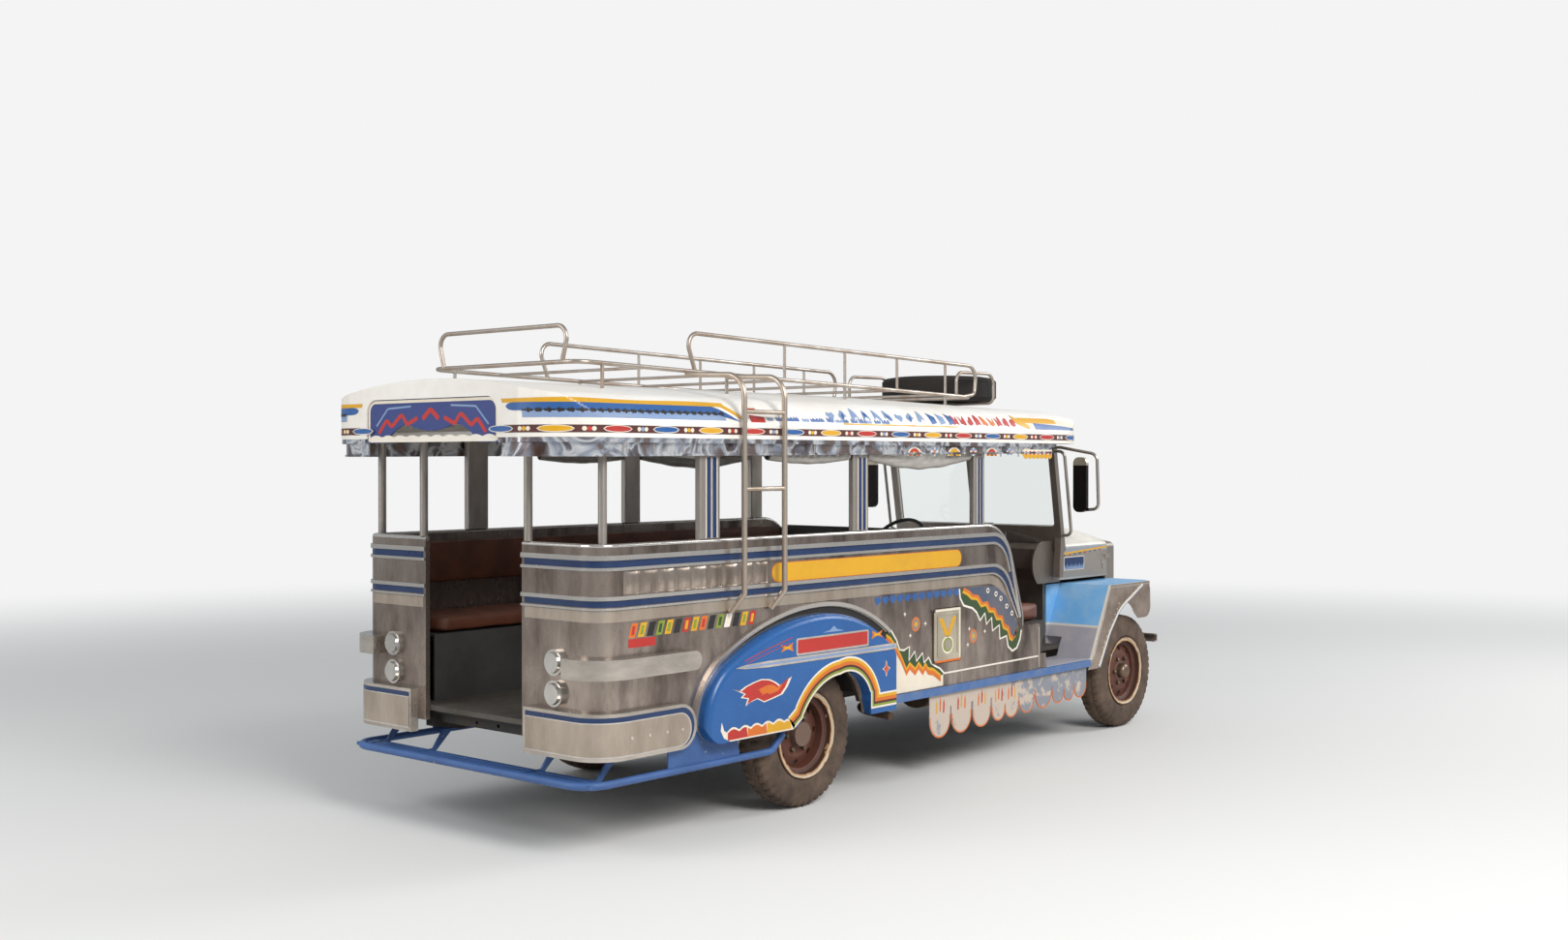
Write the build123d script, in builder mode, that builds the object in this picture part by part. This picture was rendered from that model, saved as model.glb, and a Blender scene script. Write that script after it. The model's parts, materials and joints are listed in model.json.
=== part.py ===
"""A jeepney: a long open-sided passenger vehicle on a ladder frame, built piece by piece.

Axes: X points forward, Y to the vehicle's left, Z up. Z is zero at the ground.
All sizes are in millimetres.
"""
import os
from math import asin, degrees

from build123d import *

os.makedirs("parts", exist_ok=True)

# Clearances
seat_gap = 0.3
pin_gap = 0.3
door_gap = 5.0

# Wheels and axles
rear_axle_x = -1055.0
wheelbase = 3295.0
tyre_radius = 370.0
tyre_width = 165.0
tyre_bead_radius = 206.0
wheel_centre_y = 757.5
rim_flange_radius = 222.0
rim_thickness = 8.0
kingpin_y = 620.0
kingpin_radius = 12.0
steer_arm = 140.0
axle_tube_radius = 33.0
rear_tube_radius = 45.0
rear_spindle_radius = 36.0
front_spindle_radius = 26.0
front_spindle_reach = 33.0

# Ladder frame
rail_y = 400.0
rail_width = 60.0
rail_height = 100.0
rail_bottom_z = 430.0
frame_rear_x = -2470.0
frame_front_x = 2690.0

# Body tub
body_half = 880.0
wall = 25.0
body_rear_x = -2525.0
body_front_x = 915.0
body_bottom_z = 500.0
floor_bottom_z = 545.0
floor_thickness = 25.0
sill_z = 1385.0
sill_tube_radius = 12.5
corner_radius = 120.0
entrance_half = 360.0
house_half_length = 440.0
house_inner_y = 600.0
house_top_z = 840.0
house_sheet = 10.0
arch_cut_radius = 405.0

# Driver's compartment
cab_floor_half = 620.0
cab_floor_front_x = 1775.0
side_box_front_x = 1105.0
side_box_top_z = 775.0
side_toe_x = 1185.0
side_toe_z = 590.0

# Roof
roof_overhang = 40.0
roof_rear_x = -2775.0
roof_front_x = 1720.0
roof_bottom_z = 1870.0
roof_edge_rise = 70.0
roof_shoulder_rise = 205.0
crown_rear_rise = 275.0
crown_front_rise = 200.0
roof_sheet = 22.0
valance_drop = 85.0
valance_front_x = 1213.0

# Hood, cowl and grille
hood_half = 570.0
hood_rear_x = 1804.0
hood_front_x = 2469.0
hood_bottom_z = 980.0
hood_shoulder_z = 1215.0
hood_crown_z = 1335.0
hood_nose_z = 1240.0
hood_sheet = 10.0
cowl_rear_x = 1712.0
grille_half = 548.0
grille_front_x = 2620.0
grille_rear_x = 2484.0
grille_bottom_z = 620.0

# Front fenders and steps
fender_top_z = 955.0
fender_rear_x = 1975.0
fender_front_x = 2555.0
fender_inner_y = 490.0
fender_sheet = 10.0
step_top_z = 500.0
step_front_x = 1736.0

# Derived places
front_axle_x = rear_axle_x + wheelbase
floor_top_z = floor_bottom_z + floor_thickness
wall_mid_y = body_half - wall / 2
wall_inner_y = body_half - wall
rail_top_z = rail_bottom_z + rail_height
hub_z = tyre_radius
front_seat_half = wall_inner_y - 55
roof_half = body_half + roof_overhang
roof_edge_z = roof_bottom_z + roof_edge_rise
roof_shoulder_z = roof_bottom_z + roof_shoulder_rise
crown_rear_z = roof_bottom_z + crown_rear_rise
crown_front_z = roof_bottom_z + crown_front_rise
valance_bottom_z = roof_bottom_z - valance_drop


def side_plane(y):
    """A plane facing the vehicle's right, whose sketch axes are X and Z, at the given Y."""
    return Plane(origin=(0, y, 0), x_dir=(1, 0, 0), z_dir=(0, -1, 0))


def cross_plane(x):
    """A plane facing forward, whose sketch axes are Y and Z, at the given X."""
    return Plane(origin=(x, 0, 0), x_dir=(0, 1, 0), z_dir=(1, 0, 0))


def round_bar(points, bends, radius):
    """A round bar along straight runs joined by bends of the given radii."""
    with BuildPart() as bar:
        with BuildLine() as route:
            if bends:
                FilletPolyline(*points, radius=bends)
            else:
                Polyline(*points)
        with BuildSketch(Plane(origin=route.line @ 0, z_dir=route.line % 0)):
            Circle(radius)
        sweep(path=route.line)
    return bar.part


def both_sides(piece):
    """A right-hand piece together with its mirror image on the left."""
    with BuildPart() as pair:
        add(piece)
        mirror(about=Plane.XZ)
    return pair.part


def save(piece, name):
    """Label a finished piece and write it as the node of that name."""
    piece.label = name
    export_step(piece, f"parts/{name}.step")


# Ladder frame: two rails, cross members and the bearers that carry the floor
tail_member_x = -2400.0
drawbar_spacing = 160.0
drawbar_hole_radius = 9.0
with BuildPart() as chassis_frame:
    with BuildSketch(side_plane(rail_y + rail_width / 2)):
        with BuildLine():
            Polyline(
                (frame_rear_x, rail_bottom_z + 30),
                (frame_rear_x + 160, rail_bottom_z),
                (frame_front_x - 200, rail_bottom_z),
                (frame_front_x, rail_bottom_z + 50),
                (frame_front_x, rail_top_z),
                (frame_rear_x, rail_top_z),
                close=True,
            )
        make_face()
    extrude(amount=rail_width)
    mirror(about=Plane.XZ)
    for cross_x in (tail_member_x, -1650.0, -520.0, 250.0, 1000.0, 2600.0):
        with BuildSketch(Plane.XY.offset(rail_top_z - 50)):
            with Locations((cross_x, 0)):
                Rectangle(70, 2 * rail_y - rail_width)
        extrude(amount=50)
    for bearer_x, bearer_half in (
        (-2440.0, wall_inner_y - 40),
        (-1600.0, wall_inner_y),
        (rear_axle_x, house_inner_y),
        (-540.0, wall_inner_y),
        (150.0, wall_inner_y),
        (800.0, wall_inner_y),
        (1400.0, cab_floor_half),
    ):
        with BuildSketch(Plane.XY.offset(rail_top_z)):
            with Locations((bearer_x, 0)):
                Rectangle(60, 2 * bearer_half)
        extrude(amount=floor_bottom_z - rail_top_z)
    with BuildSketch(cross_plane(tail_member_x - 40)):
        with Locations((-drawbar_spacing / 2, rail_top_z - 25), (drawbar_spacing / 2, rail_top_z - 25)):
            Circle(drawbar_hole_radius)
    extrude(amount=80, mode=Mode.SUBTRACT)
save(chassis_frame.part, "chassis_frame")

# Front axle: a tube between two kingpin eyes
eye_height = 100.0
with BuildPart() as front_axle:
    with BuildSketch(side_plane(kingpin_y)):
        with Locations((front_axle_x, hub_z)):
            Circle(axle_tube_radius)
    extrude(amount=2 * kingpin_y)
    with BuildSketch(Plane.XY.offset(hub_z - eye_height / 2)):
        with Locations((front_axle_x, kingpin_y), (front_axle_x, -kingpin_y)):
            Circle(28)
    extrude(amount=eye_height)
    with BuildSketch(Plane.XY.offset(hub_z - eye_height / 2)):
        with Locations((front_axle_x, kingpin_y), (front_axle_x, -kingpin_y)):
            Circle(kingpin_radius + pin_gap)
    extrude(amount=eye_height, mode=Mode.SUBTRACT)

# Rear axle: housing tube, final drive and the propeller shaft that turns it
housing_half = wheel_centre_y - 97.5
final_drive_radius = 135.0
shaft_radius = 32.0
shaft_front_x = 1340.0
shaft_front_z = 420.0
with BuildPart() as rear_axle:
    with BuildSketch(side_plane(housing_half)):
        with Locations((rear_axle_x, hub_z)):
            Circle(rear_tube_radius)
    extrude(amount=2 * housing_half)
    with BuildSketch(side_plane(wheel_centre_y)):
        with Locations((rear_axle_x, hub_z)):
            Circle(rear_spindle_radius)
    extrude(amount=2 * wheel_centre_y)
    with BuildSketch(Plane(origin=(rear_axle_x, 0, hub_z), x_dir=(0, 1, 0), z_dir=(1, 0, 0))):
        with BuildLine():
            ThreePointArc((-150, 0), (0, final_drive_radius), (150, 0))
            Line((150, 0), (-150, 0))
        make_face()
    revolve(axis=Axis((rear_axle_x, 0, hub_z), (0, 1, 0)))
    with BuildLine() as shaft_line:
        Line((rear_axle_x, 0, hub_z), (shaft_front_x - 1.5, 0, shaft_front_z))
    with BuildSketch(Plane(origin=shaft_line.line @ 0, z_dir=shaft_line.line % 0)):
        Circle(shaft_radius)
    sweep(path=shaft_line.line)
with BuildPart() as axles:
    add(front_axle.part)
    add(rear_axle.part)
save(axles.part, "axles")

# Leaf springs: curved packs with an eye at each end
leaf_width = 50.0
eye_radius = 18.0


def leaf_pack(centre_x, y, pack_bottom_z, rise, half_length, thickness):
    """One leaf pack, lowest at the axle, with its eyes at the frame."""
    with BuildPart() as pack:
        with BuildSketch(side_plane(y + leaf_width / 2)):
            with BuildLine():
                low = ThreePointArc(
                    (centre_x - half_length, pack_bottom_z + rise),
                    (centre_x, pack_bottom_z),
                    (centre_x + half_length, pack_bottom_z + rise),
                )
                high = ThreePointArc(
                    (centre_x - half_length, pack_bottom_z + rise + 12),
                    (centre_x, pack_bottom_z + thickness),
                    (centre_x + half_length, pack_bottom_z + rise + 12),
                )
                Line(low @ 0, high @ 0)
                Line(low @ 1, high @ 1)
            make_face()
            with Locations(
                (centre_x - half_length, pack_bottom_z + rise + 10),
                (centre_x + half_length, pack_bottom_z + rise + 10),
            ):
                Circle(eye_radius)
        extrude(amount=leaf_width)
    return pack.part


front_pack_thickness = 30.0
front_pack_bottom = hub_z - axle_tube_radius - front_pack_thickness
front_pack_rise = rail_bottom_z - seat_gap - eye_radius - 10 - front_pack_bottom
rear_pack_y = rail_y + rail_width / 2 + leaf_width / 2
rear_pack_bottom = hub_z + rear_tube_radius
front_leaf = leaf_pack(front_axle_x, rail_y, front_pack_bottom, front_pack_rise, 430.0, front_pack_thickness)
rear_leaf = leaf_pack(rear_axle_x, rear_pack_y, rear_pack_bottom, 45.0, 520.0, 36.0)
with BuildPart() as leaf_springs:
    add(front_leaf)
    add(rear_leaf)
    mirror(about=Plane.XZ)
save(leaf_springs.part, "leaf_springs")

# Engine with its gearbox, closed inside and so plain
with BuildPart() as engine_block:
    with BuildSketch(side_plane(230)):
        with BuildLine():
            Polyline(
                (cab_floor_front_x + 70, 560),
                (cab_floor_front_x + 130, 450),
                (2430, 450),
                (2430, 1120),
                (cab_floor_front_x + 70, 1120),
                close=True,
            )
        make_face()
    extrude(amount=460)
    with BuildSketch(side_plane(125)):
        with BuildLine():
            Polyline(
                (shaft_front_x, 350),
                (cab_floor_front_x + 150, 350),
                (cab_floor_front_x + 150, 530),
                (shaft_front_x, 530),
                close=True,
            )
        make_face()
    extrude(amount=250)
save(engine_block.part, "engine_block")

# Exhaust: pipe and silencer under the right side, with its outlet ahead of the rear wheel
pipe_y = -560.0
pipe_z = 400.0
pipe_radius = 22.0
exhaust_route = round_bar(
    [(1500, -300, pipe_z), (1300, pipe_y, pipe_z), (-350, pipe_y, pipe_z), (-350, -840, pipe_z - 20)],
    [150, 150],
    pipe_radius,
)
with BuildPart() as exhaust:
    add(exhaust_route)
    with BuildSketch(cross_plane(250)):
        with Locations((pipe_y, pipe_z)):
            Ellipse(105, 72)
    extrude(amount=560)
    for hanger_x in (150.0, 800.0):
        with BuildSketch(cross_plane(hanger_x - 15)):
            with Locations((pipe_y, (pipe_z + rail_top_z) / 2)):
                Rectangle(25, rail_top_z - pipe_z)
        extrude(amount=30)
save(exhaust.part, "exhaust")

# Cabin floor with the two wheel houses that stand in it
with BuildPart() as cabin_floor:
    with BuildSketch(Plane.XY.offset(floor_bottom_z)):
        with BuildLine():
            Polyline(
                (body_rear_x + wall, -entrance_half),
                (body_rear_x + wall, entrance_half),
                (body_rear_x + wall, body_half - corner_radius),
                (body_rear_x + corner_radius, wall_inner_y),
                (side_box_front_x, wall_inner_y),
                (side_box_front_x, cab_floor_half),
                (cab_floor_front_x, cab_floor_half),
                (cab_floor_front_x, -cab_floor_half),
                (side_box_front_x, -cab_floor_half),
                (side_box_front_x, -wall_inner_y),
                (body_rear_x + corner_radius, -wall_inner_y),
                (body_rear_x + wall, corner_radius - body_half),
                close=True,
            )
        make_face()
    extrude(amount=floor_thickness)
    with BuildSketch(Plane.XY.offset(floor_bottom_z)):
        for side in (-1, 1):
            with Locations((rear_axle_x, side * (house_inner_y + wall_inner_y) / 2)):
                Rectangle(2 * house_half_length, wall_inner_y - house_inner_y)
    extrude(amount=house_top_z - floor_bottom_z)
    with BuildSketch(Plane.XY.offset(floor_bottom_z)):
        for side in (-1, 1):
            with Locations((rear_axle_x, side * (house_inner_y + house_sheet + wall_inner_y) / 2)):
                Rectangle(2 * (house_half_length - house_sheet), wall_inner_y - house_inner_y - house_sheet)
    extrude(amount=house_top_z - floor_bottom_z - house_sheet, mode=Mode.SUBTRACT)
save(cabin_floor.part, "cabin_floor")

# Sill tube: it caps the rear corners and side walls and falls in a long curve at the front
curve_corner_x = 729.0
curve_foot_z = 842.0
curve_radius = 282.0
foot_radius = 60.0
corner_mid = wall / 2
sill_line = [
    (body_rear_x + corner_mid, -entrance_half, sill_z),
    (body_rear_x + corner_mid, -wall_mid_y, sill_z),
    (curve_corner_x, -wall_mid_y, sill_z),
    (body_front_x, -wall_mid_y, curve_foot_z),
    (body_front_x, -wall_mid_y, side_box_top_z),
]
sill_bends = [corner_radius - corner_mid, curve_radius, foot_radius]
sill_tube = round_bar(sill_line, sill_bends, sill_tube_radius)
sill_groove = both_sides(round_bar(sill_line, sill_bends, sill_tube_radius + seat_gap))

# Body sides: walls with a wheel arch, grooved along their edge for the sill tube,
# and ahead of them the low side boxes that close the ends of the front seat
access_door_x0 = -5.0
access_door_length = 270.0
access_door_z0 = 630.0
access_door_height = 310.0
access_corner = 15.0
hinge_radius = 6.0
hinge_ear = 14.0
partition_x = 770.0
partition_thickness = 20.0
lid_rear_x = partition_x + partition_thickness / 2 + seat_gap
lid_sheet = 10.0


def body_wall(y_inner, y_outer):
    """The wall between two Y planes, with its falling front edge, wheel arch and side box."""
    with BuildPart() as panel:
        with BuildSketch(side_plane(y_inner)):
            with BuildLine():
                edge = FilletPolyline(
                    (body_rear_x + corner_radius, sill_z),
                    (curve_corner_x, sill_z),
                    (body_front_x, curve_foot_z),
                    (body_front_x, body_bottom_z),
                    radius=[curve_radius, foot_radius],
                )
                Polyline(
                    edge @ 1,
                    (body_rear_x + corner_radius, body_bottom_z),
                    edge @ 0,
                )
            make_face()
            with BuildLine():
                Polyline(
                    (body_front_x - 40, body_bottom_z),
                    (side_toe_x, body_bottom_z),
                    (side_toe_x - 12, side_toe_z),
                    (side_box_front_x + 8, side_toe_z),
                    (side_box_front_x, side_box_top_z),
                    (body_front_x - 40, side_box_top_z),
                    close=True,
                )
            make_face()
            with Locations((rear_axle_x, hub_z)):
                Circle(arch_cut_radius, mode=Mode.SUBTRACT)
        extrude(amount=y_inner - y_outer)
        with BuildSketch(side_plane(-(front_seat_half + seat_gap))):
            with BuildLine():
                Polyline(
                    (lid_rear_x, side_box_top_z),
                    (side_box_front_x, side_box_top_z),
                    (side_box_front_x, floor_top_z),
                    (side_box_front_x - lid_sheet, floor_top_z),
                    (side_box_front_x - lid_sheet, side_box_top_z - lid_sheet),
                    (lid_rear_x, side_box_top_z - lid_sheet),
                    close=True,
                )
            make_face()
        extrude(amount=wall_inner_y - front_seat_half - seat_gap)
        add(sill_groove, mode=Mode.SUBTRACT)
    return panel.part


wall_blank = body_wall(-wall_inner_y, -body_half)
access_mid = (access_door_x0 + access_door_length / 2, access_door_z0 + access_door_height / 2)
hinge_axis_x = access_door_x0 - 2.0
hinge_axis_y = -(body_half + hinge_radius + 1)
barrel_low_z = access_door_z0 + 20
barrel_high_z = access_door_z0 + access_door_height - 20
with BuildPart() as body_sides:
    add(wall_blank)
    with BuildSketch(side_plane(-wall_inner_y)):
        with Locations(access_mid):
            RectangleRounded(access_door_length, access_door_height, access_corner)
    extrude(amount=wall, mode=Mode.SUBTRACT)
    for ear_z in (barrel_low_z - hinge_ear - 0.5, barrel_high_z + 0.5):
        with BuildSketch(Plane.XY.offset(ear_z)):
            with Locations((hinge_axis_x, hinge_axis_y)):
                Circle(hinge_radius)
            with Locations((hinge_axis_x - 10, hinge_axis_y + hinge_radius - 1)):
                Rectangle(20, 4)
        extrude(amount=hinge_ear)
    add(mirror(wall_blank, about=Plane.XZ))
save(body_sides.part, "body_sides")

# Access door in the right side, on a hinge at its rear edge
door_thickness = 16.0
ridge_length = access_door_length - 70
ridge_height = access_door_height - 70
with BuildPart() as access_door:
    with BuildSketch(side_plane(-(body_half - door_thickness))):
        with Locations(access_mid):
            RectangleRounded(
                access_door_length - 2 * door_gap,
                access_door_height - 2 * door_gap,
                access_corner - door_gap,
            )
    extrude(amount=door_thickness)
    with BuildSketch(side_plane(-body_half)):
        with Locations(access_mid):
            RectangleRounded(ridge_length, ridge_height, access_corner)
            RectangleRounded(ridge_length - 12, ridge_height - 12, access_corner - 4, mode=Mode.SUBTRACT)
    extrude(amount=4)
    with BuildSketch(Plane.XY.offset(barrel_low_z)):
        with Locations((hinge_axis_x, hinge_axis_y)):
            Circle(hinge_radius)
        with Locations((hinge_axis_x + 14, hinge_axis_y + hinge_radius - 1)):
            Rectangle(28, 4)
    extrude(amount=barrel_high_z - barrel_low_z)
save(access_door.part, "access_door")

# Rear corner panels, wrapped from the side round to the entrance
with BuildPart() as rear_corners:
    for side in (-1, 1):
        with BuildSketch(Plane.XY.offset(body_bottom_z)):
            with BuildLine():
                turn = JernArc(
                    (body_rear_x + corner_radius, side * wall_mid_y),
                    (-1, 0),
                    corner_radius - corner_mid,
                    side * 90,
                )
                Line(turn @ 1, (body_rear_x + corner_mid, side * entrance_half))
            trace(line_width=wall)
        extrude(amount=sill_z - body_bottom_z)
    add(sill_groove, mode=Mode.SUBTRACT)
save(rear_corners.part, "rear_corners")

# Mouldings: the sill tube and the raised strips that run below it
# strip height, corner X at the front, foot X, foot Z, bend radius, width
strip_table = (
    (1335.0, 728.0, 872.0, 830.0, 190.0, 22.0),
    (1285.0, 690.0, 762.0, 1110.0, 170.0, 14.0),
    (1155.0, 706.0, 862.0, 850.0, 210.0, 18.0),
    (1108.0, 668.0, 845.0, 830.0, 200.0, 10.0),
)
strip_depth = 9.0
with BuildPart() as body_mouldings:
    add(sill_tube)
    for strip_z, corner_x, foot_x, foot_z, bend, width in strip_table:
        with BuildSketch(side_plane(-body_half)):
            with BuildLine():
                FilletPolyline(
                    (body_rear_x + corner_radius, strip_z),
                    (corner_x, strip_z),
                    (foot_x, foot_z),
                    radius=bend,
                )
            trace(line_width=width)
        extrude(amount=strip_depth)
        with BuildSketch(Plane.XY.offset(strip_z - width / 2)):
            with BuildLine():
                turn = JernArc(
                    (body_rear_x + corner_radius, -body_half - strip_depth / 2),
                    (-1, 0),
                    corner_radius + strip_depth / 2,
                    -90,
                )
                Line(turn @ 1, (body_rear_x - strip_depth / 2, -entrance_half))
            trace(line_width=strip_depth)
        extrude(amount=width)
    mirror(about=Plane.XZ)
save(body_mouldings.part, "body_mouldings")

# Window pillars on the side walls and the posts beside the rear entrance
pillar_depth = 38.0
pillar_table = ((-1885.0, 140.0), (-725.0, 130.0), (395.0, 110.0))
pillar_foot_z = sill_z + sill_tube_radius + seat_gap
corner_post_radius = 20.0
with BuildPart() as window_pillars:
    for pillar_x, pillar_width in pillar_table:
        with BuildSketch(Plane.XY.offset(pillar_foot_z)):
            with Locations((pillar_x + pillar_width / 2, -(body_half - pillar_depth / 2))):
                RectangleRounded(pillar_width, pillar_depth, 10)
        extrude(amount=roof_bottom_z - pillar_foot_z)
    with BuildSketch(Plane.XY.offset(pillar_foot_z)):
        with Locations((body_rear_x + corner_mid, -entrance_half - 30), (body_rear_x + 75, -body_half + 60)):
            Circle(corner_post_radius)
    extrude(amount=roof_bottom_z - pillar_foot_z)
    mirror(about=Plane.XZ)
save(window_pillars.part, "window_pillars")

# Roof: a crowned shell with rounded corners, a falling front and headers for the posts
roof_corner_rear = 330.0
roof_corner_front = 400.0
plan_spare = 2.0
level_x = -900.0
front_fall_x = 1100.0
shoulder_inset = 200.0
header_depth = 60.0
header_height = 35.0


def roof_form(inset, floor_z):
    """The roof's solid envelope, drawn in from its outer faces by an inset."""
    half = roof_half - inset
    shoulder_y = half - shoulder_inset
    shoulder_z = roof_shoulder_z - inset
    haunch_z = roof_edge_z + 84 - inset / 2
    nose_z = roof_edge_z - 20 - inset / 2
    with BuildPart() as form:
        with BuildSketch(cross_plane(roof_rear_x + inset)):
            with BuildLine():
                Polyline((-half, roof_edge_z), (-half, floor_z), (half, floor_z), (half, roof_edge_z))
                ThreePointArc((half, roof_edge_z), (half - 60, haunch_z), (shoulder_y, shoulder_z))
                ThreePointArc((shoulder_y, shoulder_z), (0, crown_rear_z - inset), (-shoulder_y, shoulder_z))
                ThreePointArc((-shoulder_y, shoulder_z), (60 - half, haunch_z), (-half, roof_edge_z))
            make_face()
        extrude(amount=roof_front_x - roof_rear_x - 2 * inset)
        with BuildSketch(Plane.XY.offset(floor_z)):
            with BuildLine():
                outline = FilletPolyline(
                    (-500, half + plan_spare),
                    (roof_rear_x + inset - plan_spare, half + plan_spare),
                    (roof_rear_x + inset - plan_spare, -half - plan_spare),
                    (roof_front_x - inset + plan_spare, -half - plan_spare),
                    (roof_front_x - inset + plan_spare, half + plan_spare),
                    (0, half + plan_spare),
                    radius=[
                        roof_corner_rear - inset,
                        roof_corner_rear - inset,
                        roof_corner_front - inset,
                        roof_corner_front - inset,
                    ],
                )
                Line(outline @ 1, outline @ 0)
            make_face()
        extrude(amount=400, mode=Mode.INTERSECT)
        with BuildSketch(side_plane(roof_half + 50)):
            with BuildLine():
                Line((roof_rear_x - 50, floor_z), (roof_rear_x - 50, crown_rear_z + 20 - inset))
                Line((roof_rear_x - 50, crown_rear_z + 20 - inset), (level_x, crown_rear_z + 5 - inset))
                Line((level_x, crown_rear_z + 5 - inset), (front_fall_x, crown_front_z - inset))
                ThreePointArc(
                    (front_fall_x, crown_front_z - inset),
                    (roof_front_x - 260, crown_front_z - 40 - inset),
                    (roof_front_x + 5, nose_z),
                )
                Line((roof_front_x + 5, nose_z), (roof_front_x + 5, floor_z))
                Line((roof_front_x + 5, floor_z), (roof_rear_x - 50, floor_z))
            make_face()
        extrude(amount=2 * roof_half + 100, mode=Mode.INTERSECT)
    return form.part


roof_outer = roof_form(0.0, roof_bottom_z)
roof_inner = roof_form(roof_sheet, roof_bottom_z - 10)
visor_half = 490.0
visor_top_z = crown_rear_z - 90
visor_frame = 30.0
with BuildPart() as roof_shell:
    add(roof_outer)
    add(roof_inner, mode=Mode.SUBTRACT)
    with BuildSketch(cross_plane(roof_rear_x - 10)):
        with Locations((0, (roof_bottom_z - 200 + visor_top_z) / 2)):
            RectangleRounded(2 * visor_half, visor_top_z - roof_bottom_z + 200, 70)
    extrude(amount=60, mode=Mode.SUBTRACT)
    for side in (-1, 1):
        with BuildSketch(Plane.XY.offset(roof_bottom_z)):
            with Locations(((body_rear_x + corner_mid + valance_front_x) / 2, side * (body_half - 10))):
                Rectangle(valance_front_x - body_rear_x - corner_mid, header_depth)
        extrude(amount=header_height)
    for header_x, header_half in (
        (body_rear_x + corner_mid, body_half - 20),
        (-1815.0, body_half - 20),
        (-660.0, body_half - 20),
        (450.0, body_half - 20),
        (roof_front_x - 80, roof_half - 230),
    ):
        with BuildSketch(Plane.XY.offset(roof_bottom_z)):
            with Locations((header_x, 0)):
                Rectangle(50, 2 * header_half)
        extrude(amount=header_height)
save(roof_shell.part, "roof_shell")

# Valances under the roof edge, wrapped round its rear corners, with the gutter rail along
# their top and a hem along their lower edge
gutter_height = 22.0
gutter_depth = 28.0
valance_sheet = 8.0
valance_lift = 25.0
hem_height = 10.0
hem_depth = 14.0
valance_inner_y = body_half + 12
valance_rear_x = roof_rear_x + roof_corner_rear
valance_run = valance_front_x - valance_rear_x


def valance_wrap(depth, low_z, height):
    """A strip that turns with the roof's right rear corner, up to the rear visor."""
    mid_y = valance_inner_y + depth / 2
    with BuildPart() as wrap:
        with BuildSketch(Plane.XY.offset(low_z)):
            with BuildLine():
                turn = JernArc((valance_rear_x, -mid_y), (-1, 0), roof_corner_rear - roof_half + mid_y, -90)
                Line(turn @ 1, ((turn @ 1).X, -visor_half - 10))
            trace(line_width=depth)
        extrude(amount=height)
    return wrap.part


with BuildPart() as roof_valances:
    with BuildSketch(side_plane(-valance_inner_y)):
        with BuildLine():
            Polyline(
                (valance_rear_x, valance_bottom_z),
                (valance_front_x, valance_bottom_z + valance_lift),
                (valance_front_x, roof_bottom_z),
                (valance_rear_x, roof_bottom_z),
                close=True,
            )
        make_face()
    extrude(amount=valance_sheet)
    with BuildSketch(side_plane(-valance_inner_y)):
        with Locations((valance_rear_x + valance_run / 2, roof_bottom_z - gutter_height / 2)):
            Rectangle(valance_run, gutter_height)
    extrude(amount=gutter_depth)
    with BuildSketch(side_plane(-valance_inner_y)):
        with BuildLine():
            Polyline(
                (valance_rear_x, valance_bottom_z),
                (valance_front_x, valance_bottom_z + valance_lift),
                (valance_front_x, valance_bottom_z + valance_lift + hem_height),
                (valance_rear_x, valance_bottom_z + hem_height),
                close=True,
            )
        make_face()
    extrude(amount=hem_depth)
    add(valance_wrap(valance_sheet, valance_bottom_z, valance_drop))
    add(valance_wrap(gutter_depth, roof_bottom_z - gutter_height, gutter_height))
    add(valance_wrap(hem_depth, valance_bottom_z, hem_height))
    mirror(about=Plane.XZ)
save(roof_valances.part, "roof_valances")

# Rear visor: a recessed panel with a waved lower edge over the entrance
visor_bottom_z = roof_bottom_z - 20
wave_height = 85.0
visor_thickness = 8.0
visor_side = visor_half - seat_gap
visor_crest = visor_top_z - seat_gap
visor_corner = 70.0 - seat_gap
visor_wave = (
    (-345.0, visor_bottom_z),
    (-330.0, visor_bottom_z + 15),
    (-270.0, visor_bottom_z + 60),
    (-170.0, visor_bottom_z + wave_height),
    (0.0, visor_bottom_z + 55),
    (170.0, visor_bottom_z + wave_height),
    (270.0, visor_bottom_z + 60),
    (330.0, visor_bottom_z + 15),
    (345.0, visor_bottom_z),
)
with BuildPart() as rear_visor:
    with BuildSketch(cross_plane(roof_rear_x + 10)):
        with BuildLine():
            Line(visor_wave[0], visor_wave[1])
            ThreePointArc(*visor_wave[1:4])
            ThreePointArc(*visor_wave[3:6])
            ThreePointArc(*visor_wave[5:8])
            Line(visor_wave[7], visor_wave[8])
            Polyline(visor_wave[8], (visor_side, visor_bottom_z), (visor_side, visor_crest - visor_corner))
            JernArc((visor_side, visor_crest - visor_corner), (0, 1), visor_corner, 90)
            Line((visor_side - visor_corner, visor_crest), (visor_corner - visor_side, visor_crest))
            JernArc((visor_corner - visor_side, visor_crest), (-1, 0), visor_corner, 90)
            Polyline((-visor_side, visor_crest - visor_corner), (-visor_side, visor_bottom_z), visor_wave[0])
        make_face()
    extrude(amount=visor_thickness)
save(rear_visor.part, "rear_visor")

# Roof rack: bent tube rails on feet, with cross bars and the spare wheel's stirrups
rack_y = 550.0
rack_tube = 11.0
foot_lift = 1.7
rack_low_rear_z = crown_rear_z + 80
rack_low_front_z = crown_front_z + 80
rack_rail_rise = 190.0
rack_rear_x = -2350.0
rack_front_x = 880.0


def rack_z(x):
    """Height of the lower rack rail, which falls towards the front."""
    share = (x - rack_rear_x) / (rack_front_x - rack_rear_x)
    return rack_low_rear_z + share * (rack_low_front_z - rack_low_rear_z)


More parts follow.
